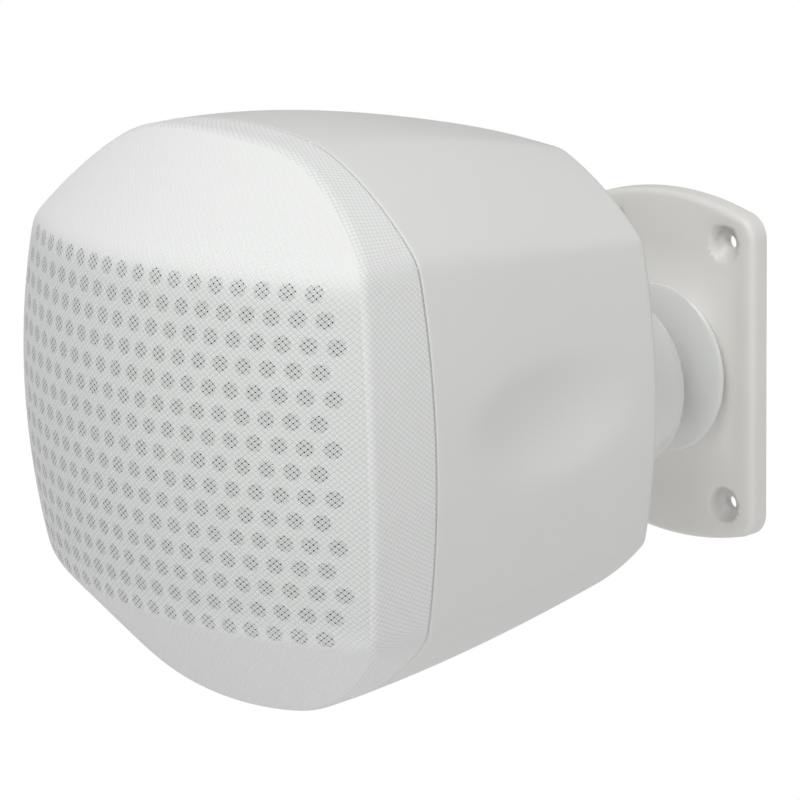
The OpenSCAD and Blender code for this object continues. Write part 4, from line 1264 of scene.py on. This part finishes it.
@dataclass
class Mounting:
    """The mounting plate, its cover, the ball stud and its nut, sizes in millimetres."""

    sharp_deg: float = 34.0
    plate_face: float = 6.6
    cover_radius: float = 28.0
    cover_foot_radius: float = 24.0
    cover_height: float = 10.0
    cover_wall: float = 2.2
    dome_radius: float = 78.0
    rim_leg: float = 1.6
    pad_radius: float = 11.3
    pad_depth: float = 1.3
    stud_hole_radius: float = 5.3
    under_draw: float = 2.0
    dome_steps: int = 14
    rim_steps: int = 7

    def cover_profile(self) -> Array:
        """Profile of the boss's cover: a foot that flares out to the rim under a shallow dome.

        The dome's height falls from its middle by the sagitta of its radius.

        Returns:
            Reaches from the wall and radii in metres, shape (rows, 2).
        """
        top = self.plate_face + self.cover_height
        dome_r = np.linspace(self.cover_radius, self.pad_radius, self.dome_steps)
        dome_y = top - self.dome_radius + np.sqrt(self.dome_radius**2 - dome_r**2)
        dome = np.stack([dome_y, dome_r], -1)
        foot = np.array([self.plate_face, self.cover_foot_radius])
        flare = (foot - dome[0]) / np.linalg.norm(foot - dome[0])
        inward = (dome[1] - dome[0]) / np.linalg.norm(dome[1] - dome[0])
        leg = self.rim_leg
        rim = bezier_corner(
            dome[0] + flare * leg, dome[0], dome[0] + inward * leg, self.rim_steps
        )
        pad_y = dome_y[-1] - self.pad_depth
        under = pad_y - self.cover_wall
        inside = [
            [pad_y, self.pad_radius],
            [pad_y, self.stud_hole_radius],
            [under, self.stud_hole_radius],
            [under, self.cover_foot_radius - self.cover_wall - self.under_draw],
            [self.plate_face, self.cover_foot_radius - self.cover_wall],
        ]
        dome_rows = dome[dome[:, 1] < rim[-1, 1]]
        return MM * np.concatenate([foot[None], rim, dome_rows, inside])

    def build(self, wardrobe: Wardrobe) -> None:
        """Shows the plate as a smooth copy, turns the boss's cover and dresses the rest."""
        plate = smoothed_copy("wall_plate", "mounting_plate", self.sharp_deg)
        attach(plate, "mounting")
        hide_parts("wall_plate")
        wardrobe.dress(plate, Finish.PLATE)
        cover = turned("boss_dome", self.cover_profile())
        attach(cover, "mounting")
        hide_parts("boss_cover")
        wardrobe.dress(cover, Finish.GLOSS)
        dress_nodes(
            wardrobe,
            {"ball_stud": Finish.STEEL, "stud_nut": Finish.STEEL},
        )


@dataclass
class Swivel:
    """The seat rings, the clamp ring and the arm with its screws, sizes in millimetres."""

    ball_reach: float = 38.0
    socket_radius: float = 17.1
    ring_radius: float = 29.5
    ring_back: float = 10.0
    ring_front: float = 8.0
    shoulder_front: float = 4.0
    thread_radius: float = 24.0
    crown_leg: tuple[float, float] = (7.0, 6.0)
    front_leg: float = 1.2
    crown_steps: int = 16
    lip_steps: int = 5
    socket_steps: int = 12

    def ring_profile(self) -> Array:
        """Profile of the clamp ring: a crowned end towards the wall and a bored socket.

        The crown is a quadratic curve over the outer corner, and the socket's rows lie on the
        sphere round the ball's centre.

        Returns:
            Reaches from the wall and radii in metres, shape (rows, 2).
        """
        r = self.ring_radius
        corner = np.array([-self.ring_back, r])
        long_leg, end_leg = self.crown_leg
        crown = bezier_corner(
            corner - [0, end_leg], corner, corner + [long_leg, 0], self.crown_steps
        )
        front = np.array([self.ring_front, r])
        leg = self.front_leg
        lip = bezier_corner(front - [leg, 0], front, front - [0, leg], self.lip_steps)
        bore = np.array(
            [[self.ring_front, self.thread_radius], [self.shoulder_front, self.thread_radius]]
        )
        ball_z = np.linspace(self.shoulder_front, -self.ring_back, self.socket_steps)
        socket = np.stack([ball_z, np.sqrt(self.socket_radius**2 - ball_z**2)], -1)
        rows = np.concatenate([crown, lip, bore, socket])
        return MM * (rows + [self.ball_reach, 0])

    def build(self, wardrobe: Wardrobe) -> None:
        """Makes the crowned clamp ring and dresses the swivel's solids."""
        ring = turned("crowned_ring", self.ring_profile())
        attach(ring, "ring")
        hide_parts("clamp_ring")
        wardrobe.dress(ring, Finish.GLOSS)
        dress_nodes(
            wardrobe,
            {
                "seat_ring_wall": Finish.SEAT,
                "seat_ring_arm": Finish.SEAT,
                "swivel_arm": Finish.GLOSS,
                "arm_screws": Finish.STEEL,
            },
        )


@dataclass
class Terminals:
    """The terminal cup with its levers, springs, screws and wires."""

    def build(self, wardrobe: Wardrobe) -> None:
        """Dresses the terminals' solids."""
        dress_nodes(
            wardrobe,
            {
                "terminal_cup": Finish.BLACK_PLASTIC,
                "cup_screws": Finish.BLACK_STEEL,
                "terminal_lever_red": Finish.RED_PLASTIC,
                "terminal_lever_black": Finish.BLACK_PLASTIC,
                "contact_spring_red": Finish.BRASS,
                "contact_spring_black": Finish.BRASS,
                "hookup_wire_red": Finish.RED_WIRE,
                "hookup_wire_black": Finish.BLACK_WIRE,
            },
        )


@dataclass
class Driver:
    """The driver behind the cover and what holds it."""

    def build(self, wardrobe: Wardrobe) -> None:
        """Dresses the driver, the baffle and the gaskets."""
        dress_nodes(
            wardrobe,
            {
                "baffle": Finish.BLACK_PLASTIC,
                "baffle_gasket": Finish.FOAM,
                "baffle_screws": Finish.BLACK_STEEL,
                "damping_wad": Finish.WADDING,
                "driver_basket": Finish.BLACK_STEEL,
                "driver_gasket": Finish.FOAM,
                "driver_screws": Finish.BLACK_STEEL,
                "surround": Finish.RUBBER,
                "cone": Finish.PAPER,
                "dust_cap": Finish.PAPER,
                "voice_coil": Finish.COIL,
                "spider": Finish.SPIDER,
                "top_plate": Finish.STEEL,
                "magnet": Finish.FERRITE,
                "yoke": Finish.STEEL,
                "terminal_strip": Finish.FIBRE,
            },
        )


def dress_nodes(wardrobe: Wardrobe, finishes: dict[str, Finish]) -> None:
    """Gives CAD nodes their finishes.

    Args:
        wardrobe: Source of the finishes.
        finishes: Finish of each node by the node's name.
    """
    for node, finish in finishes.items():
        wardrobe.dress(bpy.data.objects[node], finish)


# Studio


@dataclass(frozen=True)
class PhotoCamera:
    """Camera at the photograph's place: a long lens, a little above and to the right."""

    position: tuple[float, float, float] = (0.709177, -0.781495, 0.268976)
    azimuth_deg: float = 47.145
    elevation_deg: float = 14.903
    roll_deg: float = -1.504
    focal_pixels: float = 3386.9
    frame_pixels: float = 800.0
    sensor_mm: float = 36.0

    def build(self) -> bpy.types.Object:
        """Makes the camera and sets it as the scene's.

        The view direction comes from the azimuth and elevation, and the roll turns the
        camera's right and up about it.

        Returns:
            The camera's object.
        """
        az, el, roll = (
            math.radians(a) for a in (self.azimuth_deg, self.elevation_deg, self.roll_deg)
        )
        forward = Vector(
            (-math.sin(az) * math.cos(el), math.cos(az) * math.cos(el), -math.sin(el))
        )
        level = Vector((math.cos(az), math.sin(az), 0.0))
        upright = level.cross(forward)
        right = level * math.cos(roll) + upright * math.sin(roll)
        up = upright * math.cos(roll) - level * math.sin(roll)
        data = bpy.data.cameras.new("photo_camera")
        data.sensor_width = self.sensor_mm
        data.lens = self.focal_pixels * self.sensor_mm / self.frame_pixels
        data.clip_start = 0.01
        camera = bpy.data.objects.new("photo_camera", data)
        turn = Matrix((right, up, -forward)).transposed()
        camera.matrix_world = Matrix.Translation(self.position) @ turn.to_4x4()
        bpy.context.scene.collection.objects.link(camera)
        bpy.context.scene.camera = camera
        return camera


@dataclass(frozen=True)
class Softbox:
    """Square area lamp that is aimed at a point."""

    name: str
    position: tuple[float, float, float]
    target: tuple[float, float, float]
    size: float
    power: float

    def build(self) -> None:
        """Makes the lamp."""
        data = bpy.data.lights.new(self.name, "AREA")
        data.size = self.size
        data.energy = self.power
        lamp = bpy.data.objects.new(self.name, data)
        aim = Vector(self.target) - Vector(self.position)
        lamp.matrix_world = (
            Matrix.Translation(self.position) @ aim.to_track_quat("-Z", "Y").to_matrix().to_4x4()
        )
        bpy.context.scene.collection.objects.link(lamp)


@dataclass
class Studio:
    """Plain pale floor, white surroundings and soft light from above and in front."""

    floor_z: float = -0.42
    floor_half: float = 6.0
    floor_tone: float = 0.92
    floor_roughness: float = 0.9
    sky_low: float = 0.44
    sky_high: float = 0.47
    lift_range: tuple[float, float] = (-0.2, 1.0)
    lamps: tuple[Softbox, ...] = (
        Softbox("key", (0.45, -1.35, 1.5), (0.0, -0.14, 0.02), 0.9, 18.0),
        Softbox("top", (0.35, -0.1, 1.7), (0.0, -0.12, 0.02), 1.4, 2.0),
        Softbox("side", (1.75, -0.55, 0.7), (0.0, -0.08, 0.0), 0.8, 4.0),
    )

    def white_to_camera(self, tree: bpy.types.NodeTree, lit: Socket) -> Socket:
        """Mix of a lit shader and plain white for what is seen directly or through glass.

        Args:
            tree: The tree of the floor or the world.
            lit: The shader for all other rays.

        Returns:
            The mixed shader's socket.
        """
        path = tree.nodes.new("ShaderNodeLightPath")
        direct, through = path.outputs["Is Camera Ray"], path.outputs["Is Transmission Ray"]
        seen = math_node(tree, "MAXIMUM", direct, through)
        in_world = lit.node.type == "BACKGROUND"
        white = tree.nodes.new("ShaderNodeBackground" if in_world else "ShaderNodeEmission")
        white.inputs["Color"].default_value = (1, 1, 1, 1)
        white.inputs["Strength"].default_value = 1.0
        mix = tree.nodes.new("ShaderNodeMixShader")
        tree.links.new(seen, mix.inputs[0])
        tree.links.new(lit, mix.inputs[1])
        tree.links.new(white.outputs[0], mix.inputs[2])
        return mix.outputs[0]

    def build_floor(self) -> None:
        """Makes the floor far below the speaker."""
        h = self.floor_half
        corners = np.array([[-h, -h, 0], [h, -h, 0], [h, h, 0], [-h, h, 0]])
        corners[:, 2] = self.floor_z
        mesh = bpy.data.meshes.new("floor")
        mesh.from_pydata(corners.tolist(), [], [[0, 1, 2, 3]])
        floor = bpy.data.objects.new("floor", mesh)
        bpy.context.scene.collection.objects.link(floor)
        material, tree, shader = new_material("pale_floor")
        shader.inputs["Base Color"].default_value = (*[self.floor_tone] * 3, 1)
        shader.inputs["Roughness"].default_value = self.floor_roughness
        out = next(n for n in tree.nodes if n.type == "OUTPUT_MATERIAL")
        mixed = self.white_to_camera(tree, shader.outputs[0])
        tree.links.new(mixed, out.inputs["Surface"])
        mesh.materials.append(material)

    def build_world(self) -> None:
        """Makes the surroundings: a little lighter above, and white to the camera."""
        world = bpy.data.worlds.new("studio")
        bpy.context.scene.world = world
        world.use_nodes = True
        tree = world.node_tree
        tree.nodes.clear()
        out = tree.nodes.new("ShaderNodeOutputWorld")
        split = tree.nodes.new("ShaderNodeSeparateXYZ")
        place = tree.nodes.new("ShaderNodeTexCoord")
        tree.links.new(place.outputs["Generated"], split.inputs[0])
        lift = ramp_node(tree, split.outputs["Z"], *self.lift_range)
        strength = math_node(tree, "MULTIPLY", lift, self.sky_high - self.sky_low)
        strength = math_node(tree, "ADD", strength, self.sky_low)
        sky = tree.nodes.new("ShaderNodeBackground")
        sky.inputs["Color"].default_value = (1, 1, 1, 1)
        tree.links.new(strength, sky.inputs["Strength"])
        tree.links.new(self.white_to_camera(tree, sky.outputs[0]), out.inputs["Surface"])

    def build(self) -> None:
        """Makes the floor, the world, the lamps and the plain view settings."""
        self.build_floor()
        self.build_world()
        for lamp in self.lamps:
            lamp.build()
        bpy.context.scene.view_settings.view_transform = "Standard"


def main() -> None:
    """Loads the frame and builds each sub-assembly in order."""
    logging.basicConfig(level=logging.INFO, format="%(message)s")
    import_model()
    PhotoCamera().build()
    wardrobe = Wardrobe()
    parts = (
        CabinetShell(),
        CoverCloth(),
        CoverPanel(),
        Mounting(),
        Swivel(),
        Terminals(),
        Driver(),
    )
    for part in parts:
        part.build(wardrobe)
        LOG.info("built %s", type(part).__name__)
    Studio().build()


if __name__ == "__main__":
    main()
